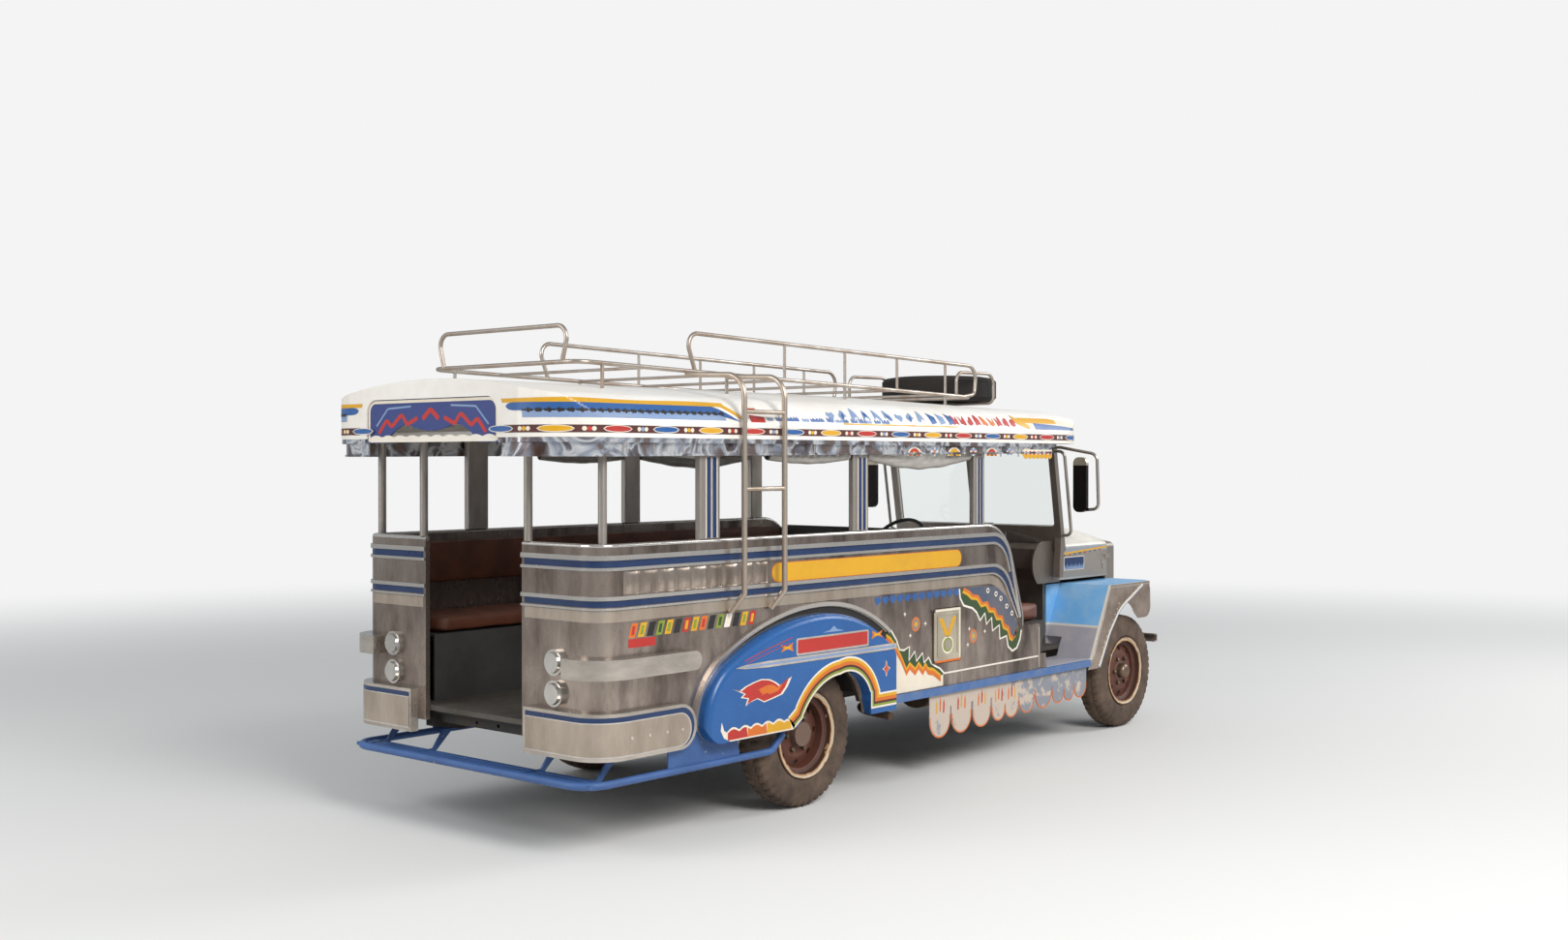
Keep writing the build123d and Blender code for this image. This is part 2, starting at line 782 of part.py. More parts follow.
def roof_z(x, y):
    """Height of the roof's outer skin over its flatter middle, for seating feet on it."""
    crown_share = (y / (roof_half - shoulder_inset)) ** 2
    section_z = crown_rear_z - crown_share * (crown_rear_z - roof_shoulder_z)
    fall_share = (x - level_x) / (front_fall_x - level_x)
    profile_z = crown_rear_z + 4 - fall_share * (crown_rear_z + 5 - crown_front_z)
    return min(section_z, profile_z)


lower_rail = round_bar(
    [
        (rack_rear_x, 0, rack_z(rack_rear_x)),
        (rack_rear_x, -rack_y, rack_z(rack_rear_x)),
        (rack_front_x, -rack_y, rack_z(rack_front_x)),
        (rack_front_x, 0, rack_z(rack_front_x)),
    ],
    [90, 90],
    rack_tube,
)
upper_rail = round_bar(
    [
        (-1575, -rack_y, rack_z(-1575)),
        (-1650, -rack_y, rack_z(-1650) + rack_rail_rise),
        (rack_front_x + 25, -rack_y, rack_z(rack_front_x) + rack_rail_rise),
        (rack_front_x + 5, -rack_y, rack_z(rack_front_x) + 20),
        (rack_front_x - 110, -rack_y, rack_z(rack_front_x - 110)),
    ],
    [60, 80, 40],
    rack_tube,
)
rear_hoop = round_bar(
    [
        (rack_rear_x, 110 - rack_y, rack_z(rack_rear_x)),
        (rack_rear_x, 60 - rack_y, rack_z(rack_rear_x) + rack_rail_rise - 20),
        (rack_rear_x, 0, rack_z(rack_rear_x) + rack_rail_rise - 20),
    ],
    [60],
    rack_tube,
)
stirrup_y = 420.0
stirrup_tube = 10.0
spare_x = 1290.0
stirrup = round_bar(
    [
        (rack_front_x, -stirrup_y, rack_z(rack_front_x)),
        (rack_front_x, -stirrup_y, rack_z(rack_front_x) + 160),
        (spare_x, -stirrup_y, rack_z(rack_front_x) + 165),
        (spare_x, -stirrup_y, rack_z(rack_front_x) - 20),
        (spare_x, 0, rack_z(rack_front_x) - 20),
    ],
    [60, 70, 40],
    stirrup_tube,
)
with BuildPart() as roof_rack:
    add(lower_rail)
    add(upper_rail)
    add(rear_hoop)
    add(stirrup)
    for post_x in (-895.0, -385.0, 95.0, 575.0):
        with BuildSketch(Plane.XY.offset(rack_z(post_x))):
            with Locations((post_x, -rack_y)):
                Circle(8)
        extrude(amount=rack_rail_rise)
    for foot_x in (rack_rear_x + 150, -1345.0, -385.0, 575.0):
        with BuildSketch(Plane.XY.offset(roof_z(foot_x, rack_y) + foot_lift)):
            with Locations((foot_x, -rack_y)):
                Circle(9)
        extrude(amount=rack_z(foot_x) - roof_z(foot_x, rack_y))
    for bar_x in (-1900.0, -1345.0, -865.0, -385.0, 95.0, 575.0):
        with BuildSketch(side_plane(rack_y)):
            with Locations((bar_x, rack_z(bar_x))):
                Circle(8)
        extrude(amount=rack_y)
    mirror(about=Plane.XZ)
save(roof_rack.part, "roof_rack")

# Ladder on the right side, hooked over the roof to the rack
ladder_y = -(body_half + 65)
ladder_tube = 14.0
ladder_table = (-1648.0, -1354.0)
ladder_top_z = rack_low_rear_z - 50
with BuildPart() as ladder:
    for rail_x in ladder_table:
        add(
            round_bar(
                [
                    (rail_x - 45, -body_half - ladder_tube - 1, 1042),
                    (rail_x, ladder_y, 1130),
                    (rail_x, ladder_y, ladder_top_z),
                    (rail_x, -rack_y - rack_tube - seat_gap, ladder_top_z + 15),
                ],
                [40, 110],
                ladder_tube,
            )
        )
    for rung_z in (1630.0, 2000.0):
        with BuildSketch(cross_plane(ladder_table[0])):
            with Locations((ladder_y, rung_z)):
                Circle(11)
        extrude(amount=ladder_table[1] - ladder_table[0])
save(ladder.part, "ladder")


# Wheels
def tyre(radius, width, bead_radius):
    """A tyre about the Y axis at the origin: tread, shoulders, side walls and a hollow inside."""
    half = width / 2
    with BuildPart() as ring:
        with BuildSketch(Plane.YZ):
            with BuildLine():
                Polyline(
                    (-half + 14, bead_radius),
                    (-half + 14, bead_radius + 19),
                    (-half + 2, bead_radius + 28),
                    (-half, bead_radius + 80),
                    (-half + 10, radius - 22),
                    (-half + 30, radius - 3),
                    (0, radius),
                    (half - 30, radius - 3),
                    (half - 10, radius - 22),
                    (half, bead_radius + 80),
                    (half - 2, bead_radius + 28),
                    (half - 14, bead_radius + 19),
                    (half - 14, bead_radius),
                    (half - 30, bead_radius),
                    (half - 26, bead_radius + 90),
                    (half - 45, radius - 26),
                    (45 - half, radius - 26),
                    (26 - half, bead_radius + 90),
                    (30 - half, bead_radius),
                    close=True,
                )
            make_face()
        revolve(axis=Axis.Y)
    return ring.part


drum_radius = 128.0
drum_inner = 70.0


def rim(side, hub_length, hub_radius, dish, bore_radius):
    """A pressed disc wheel about the Y axis; side is +1 where outward is +Y."""
    seat = tyre_bead_radius - seat_gap
    half = tyre_width / 2
    lip = half - 14 + seat_gap
    with BuildPart() as disc:
        with BuildSketch(Plane.YZ):
            with BuildLine():
                Polyline(
                    (side * lip, seat),
                    (side * 42, seat - 2),
                    (side * 30, seat - 23),
                    (side * -25, seat - 23),
                    (side * -38, seat - 2),
                    (side * -lip, seat),
                    (side * -lip, rim_flange_radius - 6),
                    (side * (-lip - 5), rim_flange_radius - 1),
                    (side * (2 - half), rim_flange_radius),
                    (side * -half, rim_flange_radius - 5),
                    (side * (-lip - 7), rim_flange_radius - 10),
                    (side * (-lip - 6), seat - rim_thickness),
                    (side * -44, seat - 2 - rim_thickness),
                    (side * -33, seat - 23 - rim_thickness),
                    (side * (dish - 8), seat - 23 - rim_thickness),
                    (side * (dish + 14), 116),
                    (side * (dish + 14), 0),
                    (side * (dish + 22), 0),
                    (side * (dish + 22), 120),
                    (side * dish, seat - 23 - rim_thickness),
                    (side * 36, seat - 23 - rim_thickness),
                    (side * 48, seat - 2 - rim_thickness),
                    (side * (lip + 6), seat - rim_thickness),
                    (side * (lip + 7), rim_flange_radius - 10),
                    (side * half, rim_flange_radius - 5),
                    (side * (half - 2), rim_flange_radius),
                    (side * (lip + 5), rim_flange_radius - 1),
                    (side * lip, rim_flange_radius - 6),
                    close=True,
                )
            make_face()
        revolve(axis=Axis.Y)
        with BuildSketch(Plane.XZ.offset(-side * (dish + 30))):
            with PolarLocations(150, 8):
                Circle(17)
        extrude(amount=side * 60, both=True, mode=Mode.SUBTRACT)
        with BuildSketch(Plane.XZ.offset(-side * (dish + 14))):
            Circle(hub_radius)
        extrude(amount=-side * hub_length)
        with BuildSketch(Plane.XZ.offset(-side * (dish + 18))):
            Circle(drum_radius - 16)
        extrude(amount=side * (dish + 18 + drum_inner))
        with BuildSketch(Plane.XZ.offset(-side * (dish - 20))):
            Circle(drum_radius)
        extrude(amount=side * (dish - 20 + drum_inner))
        with BuildSketch(Plane.XZ.offset(side * drum_inner)):
            Circle(bore_radius)
        extrude(amount=-side * (drum_inner + dish + 14), mode=Mode.SUBTRACT)
    return disc.part


tyre_blank = tyre(tyre_radius, tyre_width, tyre_bead_radius)
front_bore = front_spindle_radius + pin_gap
rear_bore = rear_spindle_radius + pin_gap
# name, X of the hub, side, hub length beyond the disc, hub radius, dish of the disc, bore of the drum
wheel_table = (
    ("front_right", front_axle_x, -1, 45.0, 42.0, 20.0, front_bore),
    ("front_left", front_axle_x, 1, 45.0, 42.0, 20.0, front_bore),
    ("rear_right", rear_axle_x, -1, 50.0, 62.0, -10.0, rear_bore),
    ("rear_left", rear_axle_x, 1, 50.0, 62.0, -10.0, rear_bore),
)
for wheel_name, wheel_x, side, hub_length, hub_radius, dish, bore_radius in wheel_table:
    hub_place = Pos(wheel_x, side * wheel_centre_y, hub_z)
    save(hub_place * tyre_blank, f"tyre_{wheel_name}")
    save(hub_place * rim(side, hub_length, hub_radius, dish, bore_radius), f"wheel_{wheel_name}")

# Spare wheel, lying flat on the rack's front cross bar
spare_z = rack_z(rack_front_x) - 20 + stirrup_tube + seat_gap + tyre_width / 2
with BuildPart() as spare_wheel:
    with BuildSketch(Plane.XZ):
        with BuildLine():
            Polyline(
                (tyre_bead_radius - 20, 58 - tyre_width / 2),
                (tyre_bead_radius, -tyre_width / 2 + 8),
                (tyre_bead_radius + 80, -tyre_width / 2),
                (tyre_radius - 22, 10 - tyre_width / 2),
                (tyre_radius, 30 - tyre_width / 2),
                (tyre_radius, tyre_width / 2 - 30),
                (tyre_radius - 22, tyre_width / 2 - 10),
                (tyre_bead_radius + 80, tyre_width / 2),
                (tyre_bead_radius, tyre_width / 2 - 8),
                (tyre_bead_radius - 20, tyre_width / 2 - 50),
                (120, tyre_width / 2 - 34),
                (40, tyre_width / 2 - 34),
                (40, tyre_width / 2 - 44),
                (112, tyre_width / 2 - 44),
                (tyre_bead_radius - 32, tyre_width / 2 - 60),
                (tyre_bead_radius - 32, 58 - tyre_width / 2),
                close=True,
            )
        make_face()
    revolve(axis=Axis.Z)
save(Pos(spare_x, 0, spare_z) * spare_wheel.part, "spare_wheel")

# Steering knuckles: a fork round the axle eye, a spindle and an arm to the tie rod
ear_thickness = 14.0
arm_z = hub_z - eye_height / 2 - 0.5 - ear_thickness



def knuckle(side):
    """The knuckle of one front wheel; side is +1 on the left."""
    fork_radius = 27.0
    web_y = kingpin_y + 40
    with BuildPart() as fork:
        for ear_z in (arm_z, hub_z + eye_height / 2 + 0.5):
            with BuildSketch(Plane.XY.offset(ear_z)):
                with Locations((front_axle_x, side * kingpin_y)):
                    Circle(fork_radius)
                with Locations((front_axle_x, side * (kingpin_y + web_y) / 2)):
                    Rectangle(2 * fork_radius, web_y - kingpin_y)
            extrude(amount=ear_thickness)
        with BuildSketch(Plane.XY.offset(arm_z)):
            with Locations((front_axle_x, side * (web_y - 4))):
                Rectangle(2 * fork_radius, 8)
        extrude(amount=eye_height + 1 + 2 * ear_thickness)
        with BuildSketch(Plane.XY.offset(arm_z)):
            with Locations((front_axle_x, side * kingpin_y)):
                Circle(kingpin_radius)
        extrude(amount=eye_height + 1 + 2 * ear_thickness)
        with BuildSketch(Plane.XY.offset(arm_z)):
            with Locations((front_axle_x - steer_arm / 2, side * kingpin_y)):
                SlotOverall(steer_arm + 40, 36)
        extrude(amount=ear_thickness - 2)
        with BuildSketch(side_plane(side * web_y)):
            with Locations((front_axle_x, hub_z)):
                Circle(front_spindle_radius)
        extrude(amount=-side * (wheel_centre_y + front_spindle_reach - web_y))
    return fork.part


save(knuckle(-1), "knuckle_right")
save(knuckle(1), "knuckle_left")

# Tie rod between the two steering arms
rod_radius = 11.0
rod_end_thickness = 10.0
rod_x = front_axle_x - steer_arm
rod_z = arm_z - pin_gap - rod_end_thickness
with BuildPart() as tie_rod:
    with BuildSketch(Plane.XY.offset(rod_z)):
        with Locations((rod_x, kingpin_y), (rod_x, -kingpin_y)):
            Circle(17)
    extrude(amount=rod_end_thickness)
    with BuildSketch(side_plane(kingpin_y)):
        with Locations((rod_x, rod_z)):
            Circle(rod_radius)
    extrude(amount=2 * kingpin_y)
    with BuildSketch(Plane.XY.offset(rod_z + rod_end_thickness)):
        with Locations((rod_x, 0)):
            Rectangle(60, 4 * kingpin_y)
    extrude(amount=20, mode=Mode.SUBTRACT)
save(tie_rod.part, "tie_rod")

# Seats: sheet boxes under the long benches and the front seat
bench_depth = 400.0
bench_top_z = 900.0
bench_sheet = 12.0
bench_rear_x = body_rear_x + corner_radius + 5
bench_front_x = 740.0
cushion_height = 90.0
front_seat_rear_x = 815.0
front_seat_front_x = 1290.0
front_seat_top_z = 775.0
partition_top_z = 1340.0
bench_inner_y = wall_inner_y - bench_depth
bench_mid_x = (bench_rear_x + bench_front_x) / 2
bench_mid_y = wall_inner_y - bench_depth / 2
with BuildPart() as seat_frames:
    for side in (-1, 1):
        with BuildSketch(Plane.XY.offset(floor_top_z)):
            with Locations((bench_mid_x, side * (bench_inner_y + bench_sheet / 2))):
                Rectangle(bench_front_x - bench_rear_x, bench_sheet)
        extrude(amount=bench_top_z - floor_top_z)
        with BuildSketch(Plane.XY.offset(bench_top_z - bench_sheet)):
            with Locations((bench_mid_x, side * bench_mid_y)):
                Rectangle(bench_front_x - bench_rear_x, bench_depth)
        extrude(amount=bench_sheet)
    with BuildSketch(Plane.XY.offset(floor_top_z)):
        with Locations((partition_x, 0)):
            Rectangle(partition_thickness, 2 * wall_inner_y - 10)
    extrude(amount=partition_top_z - floor_top_z)
    with BuildSketch(side_plane(front_seat_half)):
        with BuildLine():
            Polyline(
                (partition_x, floor_top_z),
                (front_seat_front_x - 40, floor_top_z),
                (front_seat_front_x, front_seat_top_z),
                (partition_x, front_seat_top_z),
                close=True,
            )
        make_face()
    extrude(amount=2 * front_seat_half)
save(seat_frames.part, "seat_frames")

# Bench cushions and the padded rails behind the sitters' backs
with BuildPart() as bench_pads:
    for side in (-1, 1):
        with BuildSketch(Plane.XY.offset(bench_top_z + seat_gap)):
            with Locations((bench_mid_x, side * (bench_mid_y - 3))):
                RectangleRounded(bench_front_x - bench_rear_x - 20, bench_depth - 10, 30)
        extrude(amount=cushion_height)
        with BuildSketch(Plane.XY.offset(1130)):
            with Locations((bench_mid_x, side * (wall_inner_y - 25 - seat_gap))):
                RectangleRounded(bench_front_x - bench_rear_x - 120, 50, 20)
        extrude(amount=210)

with BuildPart() as front_seat_pads:
    with BuildSketch(Plane.XY.offset(front_seat_top_z + seat_gap)):
        with Locations(((front_seat_rear_x + 55 + front_seat_front_x) / 2, 0)):
            RectangleRounded(front_seat_front_x - front_seat_rear_x - 55, 2 * front_seat_half - 20, 40)
    extrude(amount=110)
    with BuildSketch(Plane.XY.offset(front_seat_top_z + 130)):
        with Locations((partition_x + 10 + seat_gap + 40, 0)):
            RectangleRounded(80, 2 * front_seat_half - 40, 25)
    extrude(amount=partition_top_z - front_seat_top_z - 150)
with BuildPart() as seat_pads:
    add(bench_pads.part)
    add(front_seat_pads.part)
save(seat_pads.part, "seat_pads")

# Rolled side curtains tied up under the valances
curtain_table = ((-1375.0, -740.0), (-585.0, 380.0))
roll_radius = 34.0
roll_drop = 70.0
with BuildPart() as curtain_rolls:
    for roll_x0, roll_x1 in curtain_table:
        with BuildSketch(cross_plane(roll_x0)):
            with Locations((-(body_half - 8 - roll_radius), roof_bottom_z - seat_gap - roll_drop)):
                Ellipse(roll_radius, roll_drop)
        extrude(amount=roll_x1 - roll_x0)
    mirror(about=Plane.XZ)
save(curtain_rolls.part, "curtain_rolls")


# Hood, cowl and grille share one cross section
def hood_section(half, shoulder_z, crown_z, bottom_z):
    """The hood's cross section in Y and Z: upright sides under a crowned top."""
    with BuildSketch() as section:
        with BuildLine():
            Polyline((-half, shoulder_z - 35), (-half, bottom_z), (half, bottom_z), (half, shoulder_z - 35))
            ThreePointArc((half, shoulder_z - 35), (half - 10, shoulder_z - 9), (half - 36, shoulder_z + 3))
            ThreePointArc((half - 36, shoulder_z + 3), (0, crown_z), (36 - half, shoulder_z + 3))
            ThreePointArc((36 - half, shoulder_z + 3), (10 - half, shoulder_z - 9), (-half, shoulder_z - 35))
        make_face()
    return section.sketch


def hood_form(inset, bottom_z, front_x):
    """The hood's envelope, drawn in from its outer faces by an inset."""
    outline = hood_section(hood_half - inset, hood_shoulder_z - inset, hood_crown_z - inset, bottom_z)
    with BuildPart() as form:
        with BuildSketch(cross_plane(hood_rear_x)):
            add(outline)
        extrude(amount=front_x - hood_rear_x)
        with BuildSketch(side_plane(hood_half + 10)):
            with BuildLine():
                Line((hood_rear_x - 5, bottom_z), (hood_rear_x - 5, hood_crown_z - inset + 1))
                Line((hood_rear_x - 5, hood_crown_z - inset + 1), (2260, hood_crown_z - 22 - inset))
                ThreePointArc(
                    (2260, hood_crown_z - 22 - inset),
                    (2395, hood_crown_z - 42 - inset),
                    (hood_front_x + 1, hood_nose_z - inset),
                )
                Polyline(
                    (hood_front_x + 1, hood_nose_z - inset),
                    (hood_front_x + 1, bottom_z),
                    (hood_rear_x - 5, bottom_z),
                )
            make_face()
        extrude(amount=2 * hood_half + 20, mode=Mode.INTERSECT)
    return form.part


hood_outer = hood_form(0.0, hood_bottom_z, hood_front_x)
hood_inner = hood_form(hood_sheet, hood_bottom_z - 10, hood_front_x + 1)
hood_pin_radius = 6.0
hood_hinge_x = hood_rear_x - 3.0
hood_hinge_z = hood_crown_z + hood_pin_radius + 1
hood_knuckle_half = 60.0
hood_ear = 24.0
with BuildPart() as hood:
    add(hood_outer)
    add(hood_inner, mode=Mode.SUBTRACT)
    for side in (-1, 1):
        with BuildSketch(Plane.XY.offset(1100)):
            with Locations((hood_front_x - 15, side * (hood_half + 8))):
                Rectangle(60, 16)
        extrude(amount=28)
    with BuildSketch(side_plane(hood_knuckle_half)):
        with Locations((hood_hinge_x, hood_hinge_z)):
            Circle(hood_pin_radius)
        with Locations((hood_hinge_x + 14, hood_crown_z + 1)):
            Rectangle(28, 8)
    extrude(amount=2 * hood_knuckle_half)
save(hood.part, "hood")

# Cowl: the scuttle shell, firewall and toe board, with the dashboard and steering column
cowl_front_x = hood_rear_x - 6.0
cowl_crown_z = hood_crown_z - 8
cowl_section = hood_section(hood_half + 30, hood_shoulder_z + 2, cowl_crown_z, 975)
cowl_hollow = hood_section(hood_half + 18, hood_shoulder_z - 12, cowl_crown_z - 14, 960)
firewall_section = hood_section(hood_half + 18, hood_shoulder_z - 12, cowl_crown_z - 14, 975)
column_y = 360.0
column_angle_points = ((cowl_front_x - 20, column_y, 830.0), (1345.0, column_y, 1185.0))
column_shell = round_bar(column_angle_points, None, 22)
with BuildPart() as cowl:
    with BuildSketch(cross_plane(cowl_rear_x)):
        add(cowl_section)
        add(cowl_hollow, mode=Mode.SUBTRACT)
    extrude(amount=cowl_front_x - cowl_rear_x)
    with BuildSketch(cross_plane(cowl_front_x - 12)):
        add(firewall_section)
    extrude(amount=12)
    with BuildSketch(cross_plane(cab_floor_front_x)):
        with Locations((0, (floor_bottom_z + 980) / 2)):
            Rectangle(2 * fender_inner_y - 1, 980 - floor_bottom_z)
    extrude(amount=cowl_front_x - cab_floor_front_x)
    with BuildSketch(side_plane(hood_half + 20)):
        with BuildLine():
            Polyline(
                (cowl_rear_x - 60, 1060),
                (cowl_rear_x - 72, 1190),
                (cowl_rear_x - 40, 1222),
                (cowl_rear_x + 10, 1225),
                (cowl_rear_x + 10, 1210),
                (cowl_rear_x - 36, 1208),
                (cowl_rear_x - 58, 1185),
                (cowl_rear_x - 48, 1060),
                close=True,
            )
        make_face()
    extrude(amount=2 * hood_half + 40)
    for side in (-1, 1):
        with BuildSketch(side_plane(side * (hood_half + 24) + 5)):
            with BuildLine():
                ThreePointArc((1535, 975), (1476, 1115), (1600, 1245))
                Polyline(
                    (1600, 1245),
                    (cowl_rear_x - 16, 1245),
                    (cowl_rear_x + 1, 1200),
                    (cowl_rear_x + 1, 975),
                    (1535, 975),
                )
            make_face()
        extrude(amount=10)
        with BuildSketch(side_plane(side * (hood_knuckle_half + pin_gap + hood_ear / 2) + hood_ear / 2)):
            with Locations((hood_hinge_x, hood_hinge_z)):
                Circle(hood_pin_radius)
            with Locations((hood_hinge_x - 14, hood_hinge_z - hood_pin_radius - 5)):
                Rectangle(22, 20)
        extrude(amount=hood_ear)
    add(column_shell)
save(cowl.part, "cowl")

# Steering wheel, square to its column
column_dir = Vector(*column_angle_points[1]) - Vector(*column_angle_points[0])
wheel_plane = Plane(
    origin=Vector(*column_angle_points[1]) + column_dir.normalized() * 1.0,
    x_dir=(0, 1, 0),
    z_dir=column_dir.normalized(),
)
steering_radius = 205.0
with BuildPart() as steering_wheel:
    with BuildSketch(wheel_plane):
        Circle(30)
    extrude(amount=45)
    with BuildSketch(wheel_plane.offset(38)):
        with PolarLocations(0, 3, start_angle=90):
            with Locations((steering_radius / 2, 0)):
                Rectangle(steering_radius, 18)
    extrude(amount=-8)
    with Locations(wheel_plane.offset(34)):
        Torus(steering_radius, 12)
save(steering_wheel.part, "steering_wheel")

# Windscreen frame with two lights and its glass
screen_foot = (cowl_rear_x + 30, hood_crown_z - 60)
screen_head = (cowl_rear_x - 72, roof_bottom_z)
screen_dir = Vector(screen_head[0] - screen_foot[0], 0, screen_head[1] - screen_foot[1])
screen_plane = Plane(
    origin=(screen_foot[0], 0, screen_foot[1]),
    x_dir=(0, 1, 0),
    z_dir=Vector(0, 1, 0).cross(screen_dir.normalized()),
)
screen_height = screen_dir.length
screen_half = body_half - 220
frame_bar = 45.0
frame_depth = 40.0
screen_skirt = 100.0
leg_bottom_z = 1010.0
glass_thickness = 6.0
light_width = screen_half - 1.5 * frame_bar
with BuildPart() as windshield_frame:
    with BuildSketch(screen_plane.offset(-frame_depth / 2)):
        with Locations((0, (screen_height - 4 - screen_skirt) / 2)):
            Rectangle(2 * screen_half, screen_height - 4 + screen_skirt)
        for side in (-1, 1):
            with Locations((side * (frame_bar / 2 + light_width / 2), screen_height / 2 + 10)):
                RectangleRounded(light_width, screen_height - 26 - 2 * frame_bar, 25, mode=Mode.SUBTRACT)
    extrude(amount=frame_depth)
    for side in (-1, 1):
        with BuildSketch(side_plane(side * (screen_half - frame_bar / 2) + frame_bar / 2)):
            with BuildLine():
                Polyline(
                    (cowl_rear_x - 12, leg_bottom_z),
                    (cowl_rear_x + 32, leg_bottom_z),
                    (screen_foot[0] + 22, screen_foot[1] - 10),
                    (screen_foot[0] - 24, screen_foot[1] - 10),
                    close=True,
                )
            make_face()
        extrude(amount=frame_bar)
    with BuildSketch(cross_plane(cowl_rear_x - 60)):
        add(
            hood_section(
                hood_half + 30 + seat_gap,
                hood_shoulder_z + 2 + seat_gap,
                cowl_crown_z + seat_gap,
                900,
            )
        )
    extrude(amount=200, mode=Mode.SUBTRACT)
save(windshield_frame.part, "windshield_frame")

with BuildPart() as windshield_glass:
    with BuildSketch(screen_plane.offset(-glass_thickness / 2)):
        for side in (-1, 1):
            with Locations((side * (frame_bar / 2 + light_width / 2), screen_height / 2 + 10)):
                RectangleRounded(light_width - 0.6, screen_height - 26.6 - 2 * frame_bar, 25 - seat_gap)
    extrude(amount=glass_thickness)
save(windshield_glass.part, "windshield_glass")

# Grille: a pressed shell with upright bars in front of the radiator core
grille_section = hood_section(grille_half, hood_shoulder_z - 13, hood_nose_z + 8, grille_bottom_z)
bar_width = 16.0
bar_count = 11
opening_half = 270.0
opening_low_z = 690.0
opening_high_z = 1140.0
lamp_y = 410.0
lamp_z = 985.0
lamp_radius = 92.0
with BuildPart() as grille:
    with BuildSketch(cross_plane(grille_rear_x)):
        add(grille_section)
    extrude(amount=grille_front_x - grille_rear_x)
    fillet(grille.faces().sort_by(Axis.X)[-1].edges(), radius=22)
    with BuildSketch(cross_plane(grille_front_x)):
        with Locations((0, (opening_low_z + opening_high_z) / 2)):
            RectangleRounded(2 * opening_half, opening_high_z - opening_low_z, 60)
    extrude(amount=-70, mode=Mode.SUBTRACT)
    with BuildSketch(cross_plane(grille_front_x)):
        with Locations((-lamp_y, lamp_z), (lamp_y, lamp_z)):
            Circle(lamp_radius)
    extrude(amount=-90, mode=Mode.SUBTRACT)
    with BuildSketch(cross_plane(grille_front_x - 70)):
        with GridLocations(2 * opening_half / (bar_count + 1), 0, bar_count, 1):
            with Locations((0, (opening_low_z + opening_high_z) / 2)):
                Rectangle(bar_width, opening_high_z - opening_low_z)
    extrude(amount=58)
save(grille.part, "grille")

# Headlamps in the grille shell
lens_radius = lamp_radius - 14.0
lens_rise = 19.0
lens_curve = (lens_radius**2 + lens_rise**2) / (2 * lens_rise)
lens_centre_x = grille_front_x + 12 + lens_rise - lens_curve
lens_angle = degrees(asin(lens_radius / lens_curve))
with BuildPart() as headlamps:
    with BuildSketch(side_plane(-lamp_y)):
        with BuildLine():
            Polyline(
                (grille_front_x - 88, lamp_z),
                (grille_front_x - 88, lamp_z + 40),
                (grille_front_x - 50, lamp_z + 76),
                (grille_front_x - 2, lamp_z + lamp_radius - seat_gap),
                (grille_front_x + 12, lamp_z + lamp_radius - seat_gap),
                (grille_front_x + 12, lamp_z + lens_radius),
            )
            CenterArc((lens_centre_x, lamp_z), lens_curve, 0, lens_angle)
            Line((lens_centre_x + lens_curve, lamp_z), (grille_front_x - 88, lamp_z))
        make_face()
    revolve(axis=Axis((grille_front_x, -lamp_y, lamp_z), (1, 0, 0)))
    mirror(about=Plane.XZ)


